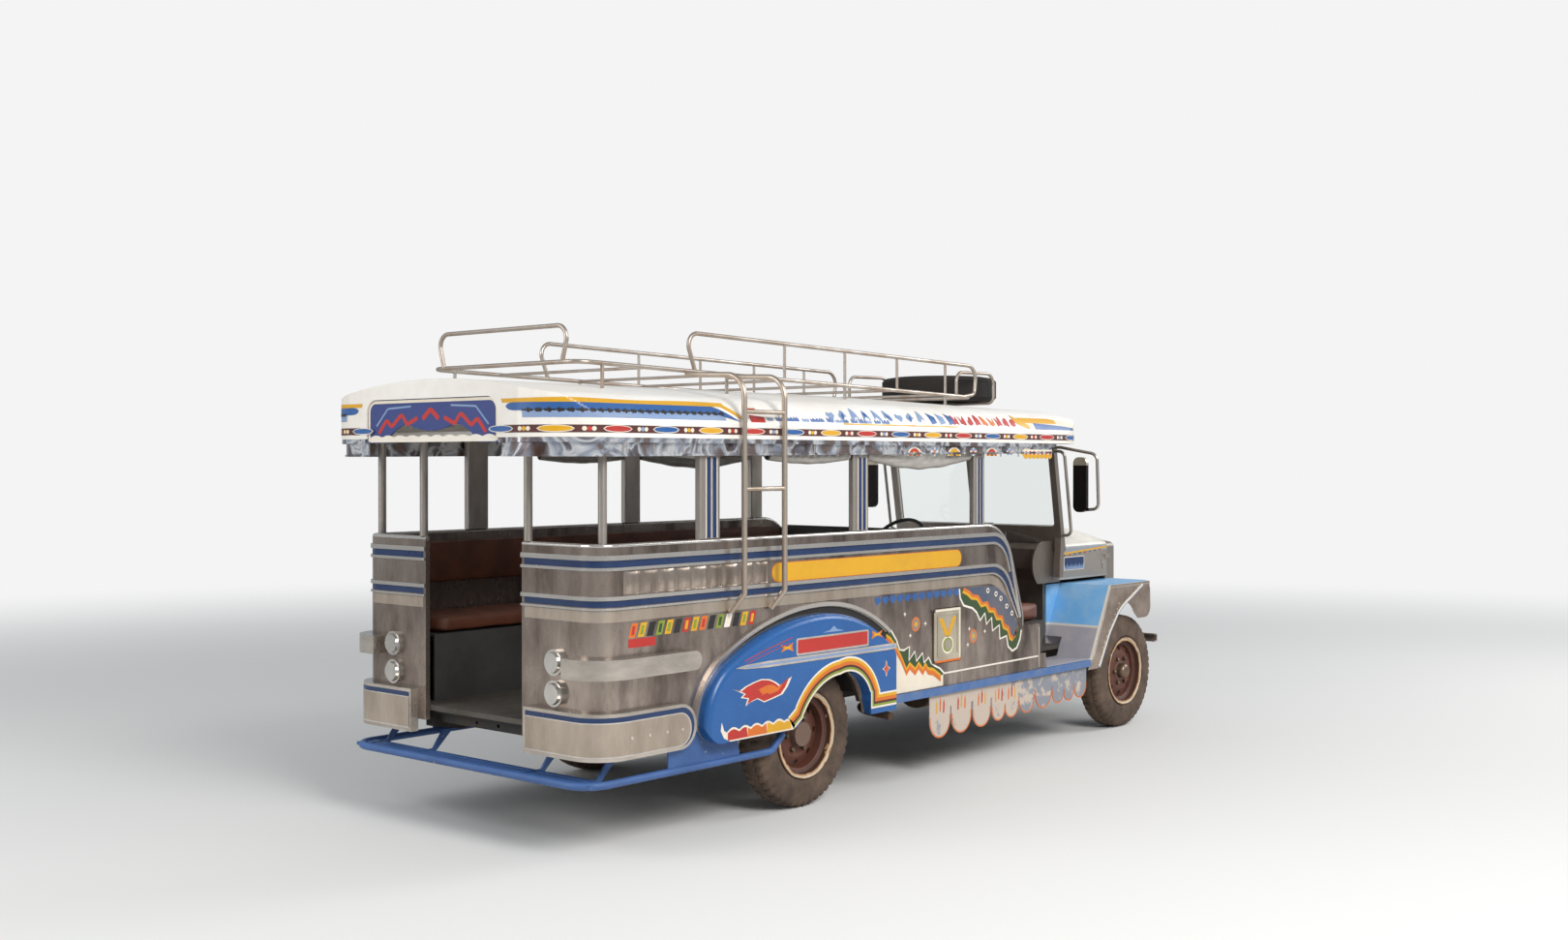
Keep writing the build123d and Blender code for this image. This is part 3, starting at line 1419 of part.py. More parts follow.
# Front fenders: folded sheet over the wheel, side valance, inner apron and the step
fender_valance = 10.0
kick_low = (step_front_x, step_top_z - fender_sheet / 2)
kick_high = (fender_rear_x + 3, fender_top_z - fender_sheet / 2)
kick_slope = (kick_high[1] - kick_low[1]) / (kick_high[0] - kick_low[0])
kick_z = kick_low[1] + kick_slope * (cowl_front_x + 2 - kick_low[0])
with BuildPart() as front_fender_right:
    with BuildSketch(side_plane(-cab_floor_half)):
        with BuildLine():
            Polyline(
                (side_box_front_x - 200, step_top_z - fender_sheet / 2),
                (step_front_x, step_top_z - fender_sheet / 2),
                (fender_rear_x + 3, fender_top_z - fender_sheet / 2),
                (fender_front_x, fender_top_z - fender_sheet / 2),
            )
        trace(line_width=fender_sheet)
    extrude(amount=body_half - fender_valance - cab_floor_half)
    with BuildSketch(side_plane(-fender_inner_y)):
        with BuildLine():
            Polyline(
                (cowl_front_x + 2, kick_z),
                (fender_rear_x + 3, fender_top_z - fender_sheet / 2),
                (fender_front_x, fender_top_z - fender_sheet / 2),
            )
        trace(line_width=fender_sheet)
    extrude(amount=cab_floor_half - fender_inner_y)
    with BuildSketch(side_plane(-body_half + fender_valance)):
        with BuildLine():
            Polyline(
                (fender_rear_x + 3, fender_top_z),
                (step_front_x + 4, step_top_z),
                (1700, 432),
                (1823, 433),
                (1956, 647),
                (2075, 774),
            )
            ThreePointArc((2075, 774), (2195, 828), (2283, 765))
            Polyline((2283, 765), (2345, 716), (2440, 716))
            ThreePointArc((2440, 716), (2490, 742), (2507, 800))
            Polyline((2507, 800), (2500, fender_top_z), (fender_rear_x + 3, fender_top_z))
        make_face()
    extrude(amount=fender_valance)
    with BuildSketch(side_plane(-fender_inner_y)):
        with BuildLine():
            Polyline(
                (cowl_front_x + 2, rail_top_z),
                (fender_front_x - 60, rail_top_z),
                (fender_front_x - 60, fender_top_z - 4),
                (cowl_front_x + 2, fender_top_z - 4),
                close=True,
            )
        make_face()
    extrude(amount=fender_sheet)
    with BuildSketch(Plane.XY.offset(fender_top_z - 40)):
        with BuildLine():
            Polyline(
                (fender_front_x + 1, -body_half + 75),
                (fender_front_x + 1, -body_half - 1),
                (fender_front_x - 60, -body_half - 1),
                close=True,
            )
        make_face()
    extrude(amount=50, mode=Mode.SUBTRACT)
    with BuildSketch(Plane.XY.offset(400)):
        with Locations((grille_rear_x - seat_gap + 100, 0)):
            Rectangle(200, 2 * (grille_half + seat_gap))
    extrude(amount=700, mode=Mode.SUBTRACT)
save(both_sides(front_fender_right.part), "front_fenders")

# Front bumper: a channel on two irons from the frame
bumper_half = 790.0
bumper_face_x = 2775.0
bumper_back_x = bumper_face_x - 40
bumper_sheet = 9.0
bumper_z = 545.0
bumper_rise = 28.0
iron_length = bumper_face_x - bumper_sheet - frame_front_x - seat_gap
iron_mid_x = frame_front_x + seat_gap + iron_length / 2
with BuildPart() as front_bumper:
    with BuildSketch(side_plane(bumper_half)):
        with BuildLine():
            Polyline(
                (bumper_back_x, bumper_z - bumper_rise),
                (bumper_face_x, bumper_z - bumper_rise + 4),
                (bumper_face_x, bumper_z + bumper_rise - 4),
                (bumper_back_x, bumper_z + bumper_rise),
                (bumper_back_x, bumper_z + bumper_rise - bumper_sheet),
                (bumper_face_x - bumper_sheet, bumper_z + bumper_rise - bumper_sheet - 3),
                (bumper_face_x - bumper_sheet, bumper_z - bumper_rise + bumper_sheet + 3),
                (bumper_back_x, bumper_z - bumper_rise + bumper_sheet),
                close=True,
            )
        make_face()
    extrude(amount=2 * bumper_half)
    with BuildSketch(Plane.XY.offset(bumper_z - 40)):
        with Locations((iron_mid_x, rail_y), (iron_mid_x, -rail_y)):
            Rectangle(iron_length, rail_width - 10)
    extrude(amount=60)
save(front_bumper.part, "front_bumper")

# Rear bumper: a low tube wrapped round the tail, aprons at its sides and the step slats
rear_tube_x = -2595.0
rear_tube_z = 335.0
rear_tube_y = -876.0
bumper_tube = 18.0
apron_x0 = -2095.0
apron_x1 = -1625.0
bumper_right = round_bar(
    [
        (rear_tube_x, 0, rear_tube_z),
        (rear_tube_x, rear_tube_y, rear_tube_z),
        (-1375, rear_tube_y, rear_tube_z),
        (-1290, rear_tube_y, rear_tube_z + 75),
    ],
    [130, 60],
    bumper_tube,
)
with BuildPart() as rear_bumper:
    add(bumper_right)
    with BuildSketch(side_plane(rear_tube_y + 6)):
        with BuildLine():
            Polyline(
                (apron_x0, rear_tube_z),
                (apron_x1 + 20, rear_tube_z),
                (apron_x1 - 20, body_bottom_z),
                (apron_x0, body_bottom_z),
                close=True,
            )
        make_face()
    extrude(amount=8)
    for slat_x in (-2560.0, -2520.0, -2480.0):
        with BuildSketch(Plane.XY.offset(rear_tube_z - 8)):
            with Locations((slat_x, (rear_tube_y + 8) / 2)):
                Rectangle(24, -rear_tube_y - 8)
        extrude(amount=16)
    for iron_y in (-780.0, -rail_y):
        with BuildSketch(side_plane(iron_y)):
            with BuildLine():
                Polyline(
                    (rear_tube_x, rear_tube_z - 10),
                    (-2440, rear_tube_z - 10),
                    (-2330, rail_bottom_z),
                    (-2390, rail_bottom_z),
                    (-2450, rear_tube_z + 10),
                    (rear_tube_x, rear_tube_z + 10),
                    close=True,
                )
            make_face()
        extrude(amount=12)
    mirror(about=Plane.XZ)
save(rear_bumper.part, "rear_bumper")

# Quarter guards: a rounded box and a bullet on each rear quarter, wrapped round its corner
# lowest Z, highest Z, X of the rounded nose, length of the nose, depth, Y of the rear end
guard_table = (
    (440.0, 650.0, -2060.0, 105.0, 45.0, 420.0),
    (800.0, 890.0, -1985.0, 45.0, 65.0, 700.0),
)
guard_turn_x = body_rear_x + corner_radius
with BuildPart() as quarter_guards:
    for low_z, high_z, nose_x, nose_length, depth, end_y in guard_table:
        with BuildSketch(side_plane(-body_half)):
            with BuildLine():
                Polyline((nose_x, low_z), (guard_turn_x, low_z), (guard_turn_x, high_z), (nose_x, high_z))
                ThreePointArc(
                    (nose_x, high_z), (nose_x + nose_length, (low_z + high_z) / 2), (nose_x, low_z)
                )
            make_face()
        extrude(amount=depth)
        with BuildSketch(Plane.XY.offset(low_z)):
            with BuildLine():
                turn = JernArc(
                    (guard_turn_x, -body_half - (depth + seat_gap) / 2),
                    (-1, 0),
                    corner_radius + (depth + seat_gap) / 2,
                    -90,
                )
                Line(turn @ 1, ((turn @ 1).X, -end_y))
            trace(line_width=depth - seat_gap)
        extrude(amount=high_z - low_z)
    mirror(about=Plane.XZ)
save(quarter_guards.part, "quarter_guards")

# Rear fenders: bulged blisters over the wheels with a bead where they meet the body
bulge = 78.0
blister_skin = 14.0
blister_round = 36.0
bead_depth = 16.0
with BuildPart() as rear_fender_right:
    with BuildSketch(side_plane(-body_half)):
        with BuildLine():
            crest = ThreePointArc((-1764, 798), (-1420, 941), (-1032, 991))
            tail = TangentArc((-1764, 798), (-1918, 530), tangent=(crest % 0) * -1)
            nose = TangentArc((-1032, 991), (-455, 770), tangent=crest % 1)
            Polyline((-455, 770), (-455, 441), (-676, 441), (-676, 540))
            ThreePointArc((-676, 540), (-770, 658), (-930, 676))
            ThreePointArc((-930, 676), (-1110, 620), (-1235, 486))
            ThreePointArc((-1235, 486), (-1270, 455), (-1320, 441))
            Line((-1320, 441), (-1780, 441))
            ThreePointArc((-1780, 441), (-1885, 470), (-1918, 530))
        make_face()
    extrude(amount=bulge)
    outer_rim = rear_fender_right.faces().sort_by(Axis.Y)[0].edges().filter_by(GeomType.CIRCLE)
    upper_rim = outer_rim.filter_by(lambda edge: edge.center().Z > 700)
    fillet(outer_rim.group_by(Axis.Z)[-1] + upper_rim, radius=blister_round)
    with BuildSketch(side_plane(-body_half)):
        with Locations((rear_axle_x, hub_z)):
            Circle(arch_cut_radius)
    extrude(amount=bulge - blister_skin, mode=Mode.SUBTRACT)
    with BuildSketch(side_plane(-body_half)):
        with BuildLine():
            bead_crest = ThreePointArc((-1725, 840), (-1400, 978), (-975, 1035))
            TangentArc((-1725, 840), (-1930, 505), tangent=(bead_crest % 0) * -1)
            TangentArc((-975, 1035), (-425, 850), tangent=bead_crest % 1)
        trace(line_width=20)
    extrude(amount=bead_depth)
save(both_sides(rear_fender_right.part), "rear_fenders")

# Side skirts: scalloped sheets hung under the body, with the sill rail above them
skirt_top_z = 478.0
skirt_sheet = 4.0
# first X, last X and lowest Z of each lobe
lobe_table = (
    (-35.0, 165.0, 212.0),
    (175.0, 375.0, 215.0),
    (390.0, 575.0, 222.0),
    (590.0, 730.0, 236.0),
    (725.0, 875.0, 238.0),
    (880.0, 1055.0, 246.0),
    (1060.0, 1255.0, 252.0),
    (1260.0, 1400.0, 262.0),
    (1395.0, 1520.0, 264.0),
    (1515.0, 1670.0, 268.0),
)
with BuildPart() as side_skirts:
    with BuildSketch(side_plane(-(body_half - fender_valance))):
        for lobe_x0, lobe_x1, lobe_z in lobe_table:
            lobe_radius = (lobe_x1 - lobe_x0) / 2
            with Locations(((lobe_x0 + lobe_x1) / 2, lobe_z + lobe_radius)):
                Circle(lobe_radius)
            with Locations(((lobe_x0 + lobe_x1) / 2, (lobe_z + lobe_radius + skirt_top_z) / 2)):
                Rectangle(2 * lobe_radius, skirt_top_z - lobe_z - lobe_radius)
        with BuildLine():
            Polyline((-35, 380), (1640, 380), (1690, skirt_top_z), (-35, skirt_top_z), close=True)
        make_face()
    extrude(amount=skirt_sheet)
    with BuildSketch(side_plane(-(body_half - fender_valance))):
        with BuildLine():
            Line((-452, skirt_top_z), (1695, skirt_top_z))
        trace(line_width=42)
    extrude(amount=26)
    mirror(about=Plane.XZ)
save(side_skirts.part, "side_skirts")

# Tail lamps on the rear corners
with BuildPart() as tail_lamps:
    for tail_z in (720.0, 860.0):
        with BuildSketch(cross_plane(body_rear_x)):
            with Locations((-600, tail_z)):
                Circle(60)
        extrude(amount=-22)
        with BuildSketch(cross_plane(body_rear_x - 22)):
            with Locations((-600, tail_z)):
                Circle(50)
        extrude(amount=-14, taper=20)
    mirror(about=Plane.XZ)
with BuildPart() as lamps:
    add(headlamps.part)
    add(tail_lamps.part)
save(lamps.part, "lamps")

# Mirrors on tube loops, with a grab tube beside each windscreen post
mirror_x = 1672.0
mirror_y = -(body_half - 42)
loop_y = -(body_half + 80)
post_face_y = -screen_half - seat_gap
mirror_loop = round_bar(
    [
        (1643, post_face_y, 1850),
        (1643, -700, 1850),
        (1652, loop_y, 1805),
        (mirror_x, loop_y, 1460),
        (mirror_x, mirror_y, 1450),
    ],
    [30, 50, 40],
    10,
)
grab_loop = round_bar(
    [
        (1648, post_face_y, 1825),
        (1648, -725, 1825),
        (1740, -725, 1282),
        (1740, post_face_y, 1282),
    ],
    [40, 40],
    10,
)
with BuildPart() as mirrors:
    add(mirror_loop)
    add(grab_loop)
    with BuildSketch(cross_plane(mirror_x - 25)):
        with Locations((mirror_y, 1612)):
            RectangleRounded(96, 350, 40)
    extrude(amount=28)
    mirror(about=Plane.XZ)
save(mirrors.part, "mirrors")
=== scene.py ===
"""Looks of a jeepney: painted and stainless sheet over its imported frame, section by section."""
import json
import math

import bpy
import bmesh
import numpy as np
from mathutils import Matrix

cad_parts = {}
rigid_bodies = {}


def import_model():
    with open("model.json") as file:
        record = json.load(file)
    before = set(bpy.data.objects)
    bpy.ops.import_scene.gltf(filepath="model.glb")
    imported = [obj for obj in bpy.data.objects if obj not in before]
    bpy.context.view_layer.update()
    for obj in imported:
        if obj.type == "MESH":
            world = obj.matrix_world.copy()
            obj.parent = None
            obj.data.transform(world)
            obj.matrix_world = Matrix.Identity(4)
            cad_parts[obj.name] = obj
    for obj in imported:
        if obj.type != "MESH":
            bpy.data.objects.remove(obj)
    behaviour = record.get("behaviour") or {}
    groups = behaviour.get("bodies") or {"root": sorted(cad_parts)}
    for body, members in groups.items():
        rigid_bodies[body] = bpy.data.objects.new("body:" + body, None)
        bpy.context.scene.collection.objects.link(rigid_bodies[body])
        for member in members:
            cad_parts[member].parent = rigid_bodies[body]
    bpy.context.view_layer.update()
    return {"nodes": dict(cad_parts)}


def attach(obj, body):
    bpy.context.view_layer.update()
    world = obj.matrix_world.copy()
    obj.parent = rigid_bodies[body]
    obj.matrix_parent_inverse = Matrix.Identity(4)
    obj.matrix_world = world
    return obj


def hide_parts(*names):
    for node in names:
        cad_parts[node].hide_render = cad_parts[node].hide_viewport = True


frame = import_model()
nodes = frame["nodes"]

# Studio: a pale floor under a plain soft sky. One broad lamp stands high on the right, one behind the left
# rear corner and one ahead on the right. The camera stands at the right rear corner at eye height.
for block in list(bpy.data.objects):
    if block.type in {"LIGHT", "CAMERA"}:
        bpy.data.objects.remove(block)


def linear(code):
    """sRGB hex colour turned to the linear values that a shader takes."""
    srgb = np.array([int(code[i : i + 2], 16) for i in (1, 3, 5)]) / 255
    return (*np.where(srgb <= 0.04045, srgb / 12.92, ((srgb + 0.055) / 1.055) ** 2.4), 1.0)


def feed(tree, node, links):
    """Set a node's inputs: each takes a value, another node's output or, given a node, its first output."""
    for key, value in links.items():
        source = value.outputs[0] if isinstance(value, bpy.types.Node) else value
        if isinstance(source, bpy.types.NodeSocket):
            tree.links.new(source, node.inputs[key])
        else:
            node.inputs[key].default_value = source


def add(tree, kind, links=None, **settings):
    """One node with its settings and its inputs."""
    made = tree.nodes.new(kind)
    for key, value in settings.items():
        setattr(made, key, value)
    feed(tree, made, links or {})
    return made


def start_finish(name):
    """A new node material: the material, its tree, its shader and the piece's own coordinates."""
    material = bpy.data.materials.new(name)
    material.use_nodes = True
    tree = material.node_tree
    place = add(tree, "ShaderNodeTexCoord").outputs["Object"]
    return material, tree, tree.nodes["Principled BSDF"], place


def mesh_piece(name, points, faces, numbers=None, merged=False, outward=True, cut=False):
    """An object from points and faces; numbers gives each face its paint.

    Merged closes seams and poles, outward turns the faces out, and cut splits many-sided faces."""
    mesh = bpy.data.meshes.new(name)
    mesh.from_pydata(np.asarray(points).tolist(), [], faces)
    if numbers is not None:
        mesh.polygons.foreach_set("material_index", np.array(numbers, np.int32))
    shape = bmesh.new()
    shape.from_mesh(mesh)
    if merged:
        bmesh.ops.remove_doubles(shape, verts=shape.verts, dist=1e-6)
    if outward:
        bmesh.ops.recalc_face_normals(shape, faces=shape.faces)
    if cut:
        bmesh.ops.triangulate(shape, faces=[face for face in shape.faces if len(face.verts) > 4])
    shape.to_mesh(mesh)
    shape.free()
    piece = bpy.data.objects.new(name, mesh)
    bpy.context.scene.collection.objects.link(piece)
    return piece


def surface(name, grid, wrap_u=False, wrap_v=False, caps=False):
    """Mesh of quads over a grid of points (rows u, columns v), closed where it wraps.

    Caps are one face over its first row and one over its last."""
    rows, columns = grid.shape[:2]
    row = np.arange(rows if wrap_u else rows - 1)
    column = np.arange(columns if wrap_v else columns - 1)
    u, v = np.meshgrid(row, column, indexing="ij")
    after_u, after_v = (u + 1) % rows, (v + 1) % columns
    corners = (u * columns + v, after_u * columns + v, after_u * columns + after_v, u * columns + after_v)
    faces = np.stack(corners, -1).reshape(-1, 4).tolist()
    if caps:
        faces += [list(range(columns)), list(range((rows - 1) * columns, rows * columns))]
    return mesh_piece(name, grid.reshape(-1, 3), faces, merged=True)


floor_reach = 40.0
floor_u, floor_v = np.meshgrid([-floor_reach, floor_reach], [-floor_reach, floor_reach], indexing="ij")
floor = surface("floor", np.dstack([floor_u, floor_v, np.full_like(floor_u, -0.0005)]))
floor_paint, floor_tree, floor_shader, floor_place = start_finish("pale_studio_floor")
feed(floor_tree, floor_shader, {"Base Color": linear("#dcdad6"), "Roughness": 0.9})
far = add(floor_tree, "ShaderNodeVectorMath", {0: floor_place}, operation="LENGTH")
fade = add(
    floor_tree, "ShaderNodeMapRange", {0: far.outputs["Value"], 1: 5.0, 2: 16.0},
    interpolation_type="SMOOTHSTEP"
)
floor_ray = add(floor_tree, "ShaderNodeLightPath")
floor_rays = {0: floor_ray.outputs["Is Camera Ray"], 1: floor_ray.outputs["Is Transmission Ray"]}
floor_seen = add(floor_tree, "ShaderNodeMath", floor_rays, operation="MAXIMUM")
shown = add(floor_tree, "ShaderNodeMath", {0: fade, 1: floor_seen}, operation="MULTIPLY")
haze = add(floor_tree, "ShaderNodeEmission", {"Color": linear("#f4f4f4"), "Strength": 1.0})
faded = add(floor_tree, "ShaderNodeMixShader", {0: shown, 1: floor_shader, 2: haze})
feed(floor_tree, floor_tree.nodes["Material Output"], {"Surface": faded})
floor.data.materials.append(floor_paint)

world = bpy.data.worlds.new("studio_sky")
bpy.context.scene.world = world
world.use_nodes = True
sky_tree = world.node_tree
sky_tree.nodes.clear()
ray = add(sky_tree, "ShaderNodeLightPath")
sky_rays = {0: ray.outputs["Is Camera Ray"], 1: ray.outputs["Is Transmission Ray"]}
seen = add(sky_tree, "ShaderNodeMath", sky_rays, operation="MAXIMUM")
lighting = add(sky_tree, "ShaderNodeBackground", {"Color": linear("#cfd6de"), "Strength": 0.62})
backdrop = add(sky_tree, "ShaderNodeBackground", {"Color": linear("#f4f4f4"), "Strength": 1.0})
blend = add(sky_tree, "ShaderNodeMixShader", {0: seen, 1: lighting, 2: backdrop})
add(sky_tree, "ShaderNodeOutputWorld", {0: blend})

# lamp name, power, size, place, point it faces
lamp_table = (
    ("key_lamp", 900.0, 5.0, (-3.5, -9.0, 7.0), (0.0, 0.0, 1.0)),
    ("fill_lamp", 350.0, 6.0, (-9.0, 3.0, 5.0), (0.0, 0.0, 1.0)),
    ("front_lamp", 400.0, 5.0, (8.0, -5.0, 6.0), (1.5, 0.0, 1.0)),
)
for lamp_name, power, size, place, aim in lamp_table:
    light = bpy.data.lights.new(lamp_name, "AREA")
    light.energy, light.size, light.shape = power, size, "DISK"
    lamp = bpy.data.objects.new(lamp_name, light)
    bpy.context.scene.collection.objects.link(lamp)
    lamp.location = place
    away = np.array(place) - np.array(aim)
    lamp.rotation_euler = (
        math.atan2(math.hypot(away[0], away[1]), away[2]),
        0.0,
        math.atan2(away[1], away[0]) + math.pi / 2,
    )

camera_data = bpy.data.cameras.new("photo_camera")
camera_data.lens = 37.07
camera_data.sensor_width = 36.0
camera_data.sensor_fit = "HORIZONTAL"
camera = bpy.data.objects.new("photo_camera", camera_data)
bpy.context.scene.collection.objects.link(camera)
camera.location = (-7.359, -6.106, 1.770)
heading, dip = 40.7, 0.36
camera.rotation_euler = (math.radians(90 - dip), 0.0, math.radians(heading - 90))
bpy.context.scene.camera = camera
bpy.context.scene.view_settings.view_transform = "Standard"


# Ladder frame, axles, springs and engine: black chassis paint and bare iron, dusty and rust-flecked.
# They're rolled and forged steel, bolted and riveted under the floor.
def enamel(name, colour, stain, chips="#4a3b30", soil=0.35, chipped=0.12, rough=0.35, grain=9.0, metal=0.0):
    """Sprayed or brushed enamel on steel: even colour, broad staining, small chips to the ground, soft gloss.

    Stain is a broad noise over grain cells a metre; chips are the peaks of a noise about 25 mm across."""
    material, tree, shader, place = start_finish(name)
    broad = add(
        tree, "ShaderNodeTexNoise",
        {"Vector": place, "Scale": grain * 0.35, "Detail": 6.0, "Roughness": 0.65}
    )
    fine = add(tree, "ShaderNodeTexNoise", {"Vector": place, "Scale": 42.0, "Detail": 5.0, "Roughness": 0.7})
    stained = add(tree, "ShaderNodeMapRange", {0: broad, 1: 0.42, 2: 0.78, 3: 0.0, 4: soil})
    body_colour = add(
        tree, "ShaderNodeMix", {0: stained, 6: linear(colour), 7: linear(stain)}, data_type="RGBA"
    )
    peak = add(tree, "ShaderNodeMapRange", {0: fine, 1: 0.66, 2: 0.70, 3: 0.0, 4: 1.0})
    amount = add(tree, "ShaderNodeMath", {0: peak, 1: min(1.0, chipped * 4)}, operation="MULTIPLY")
    worn = add(
        tree, "ShaderNodeMix", {0: amount, 6: body_colour.outputs[2], 7: linear(chips)}, data_type="RGBA"
    )
    gloss = add(tree, "ShaderNodeMapRange", {0: broad, 1: 0.3, 2: 0.8, 3: rough, 4: min(1.0, rough + 0.3)})
    relief = add(tree, "ShaderNodeBump", {"Strength": 0.12, "Distance": 0.002, "Height": fine})
    feed(
        tree, shader,
        {"Base Color": worn.outputs[2], "Roughness": gloss, "Metallic": metal, "Normal": relief}
    )
    return material


def dress(node, material):
    """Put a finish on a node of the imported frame."""
    nodes[node].data.materials.clear()
    nodes[node].data.materials.append(material)


forged_iron = enamel(
    "forged_iron", "#2e2823", "#6a4f38", chips="#7a4c30", soil=0.7, chipped=0.25, rough=0.6, metal=0.3
)
dress(
    "chassis_frame",
    enamel("chassis_black_paint", "#23201d", "#5a4a3a", chips="#6b4a34", soil=0.6, chipped=0.2, rough=0.55)
)
for iron_node in ("axles", "leaf_springs", "knuckle_right", "knuckle_left", "tie_rod"):
    dress(iron_node, forged_iron)
dress("engine_block", enamel("engine_enamel", "#3a3f42", "#1c1a18", soil=0.8, rough=0.5))
dress(
    "exhaust",
    enamel(
        "exhaust_scale", "#5b4638", "#2b211b", chips="#8a5836", soil=0.7, chipped=0.3, rough=0.7,
        metal=0.4
    )
)

# Road wheels: 16-inch pressed steel discs, brick-brown enamel, with nuts round a hub.
# The tyres are bias-ply with deep shoulder bars; each is one closed ring with its tread cut in.
FRONT_X, REAR_X, TRACK_Y, HUB_Z = 2.240, -1.055, 0.7575, 0.370


def tyre_rubber():
    """Dusty tyre rubber: near black with road dust in broad bands and fine pitting."""
    material, tree, shader, place = start_finish("dusty_tyre_rubber")
    dust = add(tree, "ShaderNodeTexNoise", {"Vector": place, "Scale": 6.0, "Detail": 7.0, "Roughness": 0.7})
    amount = add(tree, "ShaderNodeMapRange", {0: dust, 1: 0.35, 2: 0.7, 3: 0.15, 4: 0.75})
    tone = add(
        tree, "ShaderNodeMix", {0: amount, 6: linear("#2a221d"), 7: linear("#77604e")}, data_type="RGBA"
    )
    pits = add(tree, "ShaderNodeTexNoise", {"Vector": place, "Scale": 160.0, "Detail": 2.0})
    relief = add(tree, "ShaderNodeBump", {"Strength": 0.2, "Distance": 0.001, "Height": pits})
    feed(tree, shader, {"Base Color": tone.outputs[2], "Roughness": 0.85, "Normal": relief})
    return material


def smooth(piece, angle=35):
    """Rounded faces shade smoothly; edges sharper than the angle stay crisp."""
    piece.data.shade_smooth()
    shape = bmesh.new()
    shape.from_mesh(piece.data)
    for edge in shape.edges:
        edge.smooth = not (edge.is_manifold and edge.calc_face_angle(0) > math.radians(angle))
    shape.to_mesh(piece.data)
    shape.free()
    return piece


def fill_ramp(ramp, stops):
    """Colours by position along a ramp; the last one holds to its end."""
    for stop, code in stops:
        element = ramp.elements[0] if stop == 0.0 else ramp.elements.new(stop)
        element.color = linear(code)
    ramp.elements[-1].color = linear(stops[-1][1])


def metal_sheet(name, colour, smear_and_reflection, rough=0.34, smear_and_reflection_share=0.6, stretch=(2.0, 2.0, 0.7), relief_scale=55.0):
    """Stainless or plated sheet: tall smears of handling film and painted reflection over a fine brushed
    grain.

    The smears, partly painted reflection, are stretched along the given axes; roughness follows them, so
    clean spots still shine."""
    material, tree, shader, place = start_finish(name)
    pulled = add(tree, "ShaderNodeMapping", {"Vector": place, "Scale": stretch})
    film = add(tree, "ShaderNodeTexNoise", {"Vector": pulled, "Scale": 2.6, "Detail": 8.0, "Roughness": 0.62})
    spread = add(tree, "ShaderNodeMapRange", {0: film, 1: 0.36, 2: 0.66, 3: 0.0, 4: smear_and_reflection_share})
    # Dark smears in the colour: partly handling film, partly a painted reflection of dark surroundings.
    tone = add(tree, "ShaderNodeMix", {0: spread, 6: linear(colour), 7: linear(smear_and_reflection)}, data_type="RGBA")
    gloss = add(tree, "ShaderNodeMapRange", {0: film, 1: 0.3, 2: 0.75, 3: rough - 0.1, 4: rough + 0.22})
    grain = add(tree, "ShaderNodeTexNoise", {"Vector": place, "Scale": relief_scale, "Detail": 3.0})
    relief = add(tree, "ShaderNodeBump", {"Strength": 0.1, "Distance": 0.002, "Height": grain})
    feed(
        tree, shader,
        {"Base Color": tone.outputs[2], "Metallic": 0.85, "Roughness": gloss, "Normal": relief}
    )
    return material


def wear(piece, material, body="body"):
    """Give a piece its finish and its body."""
    piece.data.materials.append(material)
    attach(piece, body)
    return piece


def tyre_ring(name, centre):
    """Closed ring: a sidewall and crown profile (half width, radius) turned about Y.

    Crown points sink by the tread depth between bars: two rows of slanted shoulder bars and a split rib."""
    bar_count, bar_depth, split_depth = 48, 0.010, 0.004
    angle = np.linspace(0, 2 * np.pi, 6 * bar_count, endpoint=False)
    sidewall = [
        (0.0685, 0.206), (0.0685, 0.225), (0.0800, 0.236), (0.0822, 0.262), (0.0815, 0.290),
        (0.0765, 0.325)
    ]
    shoulder = [(0.0725, 0.343), (0.0690, 0.350), (0.0640, 0.3585), (0.0560, 0.3640), (0.0400, 0.3675)]
    crown = [(0.0360, 0.3678), (0.0240, 0.3690), (0.0200, 0.3692), (0.0060, 0.3700), (0.0030, 0.3700)]
    outer = np.array(sidewall + shoulder + crown)
    inner = np.array([(0.0500, 0.325), (0.0555, 0.290), (0.0540, 0.230), (0.0530, 0.206)])
    mirrored = (-1, 1)
    profile = np.vstack([outer, outer[::-1] * mirrored, inner[::-1] * mirrored, inner])
    half, radius = profile[:, :1], profile[:, 1:]
    pitch = 2 * np.pi / bar_count
    grid_angle = angle + 0 * half
    across = half / 0.06
    slanted = (grid_angle + np.abs(across) * 0.35 * pitch + (across > 0) * pitch / 2) / pitch
    slanted = np.abs(slanted % 1 - 0.5)
    gap = np.clip((slanted - 0.30) / 0.06, 0, 1)
    on_shoulder = (np.abs(half) > 0.0215) & (radius > 0.340)
    ribs = (np.abs(half) > 0.0195) & (np.abs(half) < 0.0365) & (radius > 0.36)
    split = ribs * (1 - gap) * (np.abs(half) < 0.03)
    depth = bar_depth * gap * on_shoulder + split_depth * split
    turned = radius - depth
    ring = np.dstack(
        [
            centre[0] + turned * np.cos(grid_angle),
            centre[1] + half + 0 * grid_angle,
            centre[2] + turned * np.sin(grid_angle),
        ]
    )
    return smooth(surface(name, ring, wrap_u=True, wrap_v=True), 40)


def open_finish(material):
    """A finish to paint over in part: its tree, its shader, its colour so far and the piece's coordinates."""
    tree = material.node_tree
    shader = tree.nodes["Principled BSDF"]
    place = add(tree, "ShaderNodeTexCoord").outputs["Object"]
    return tree, shader, shader.inputs["Base Color"].links[0].from_socket, place


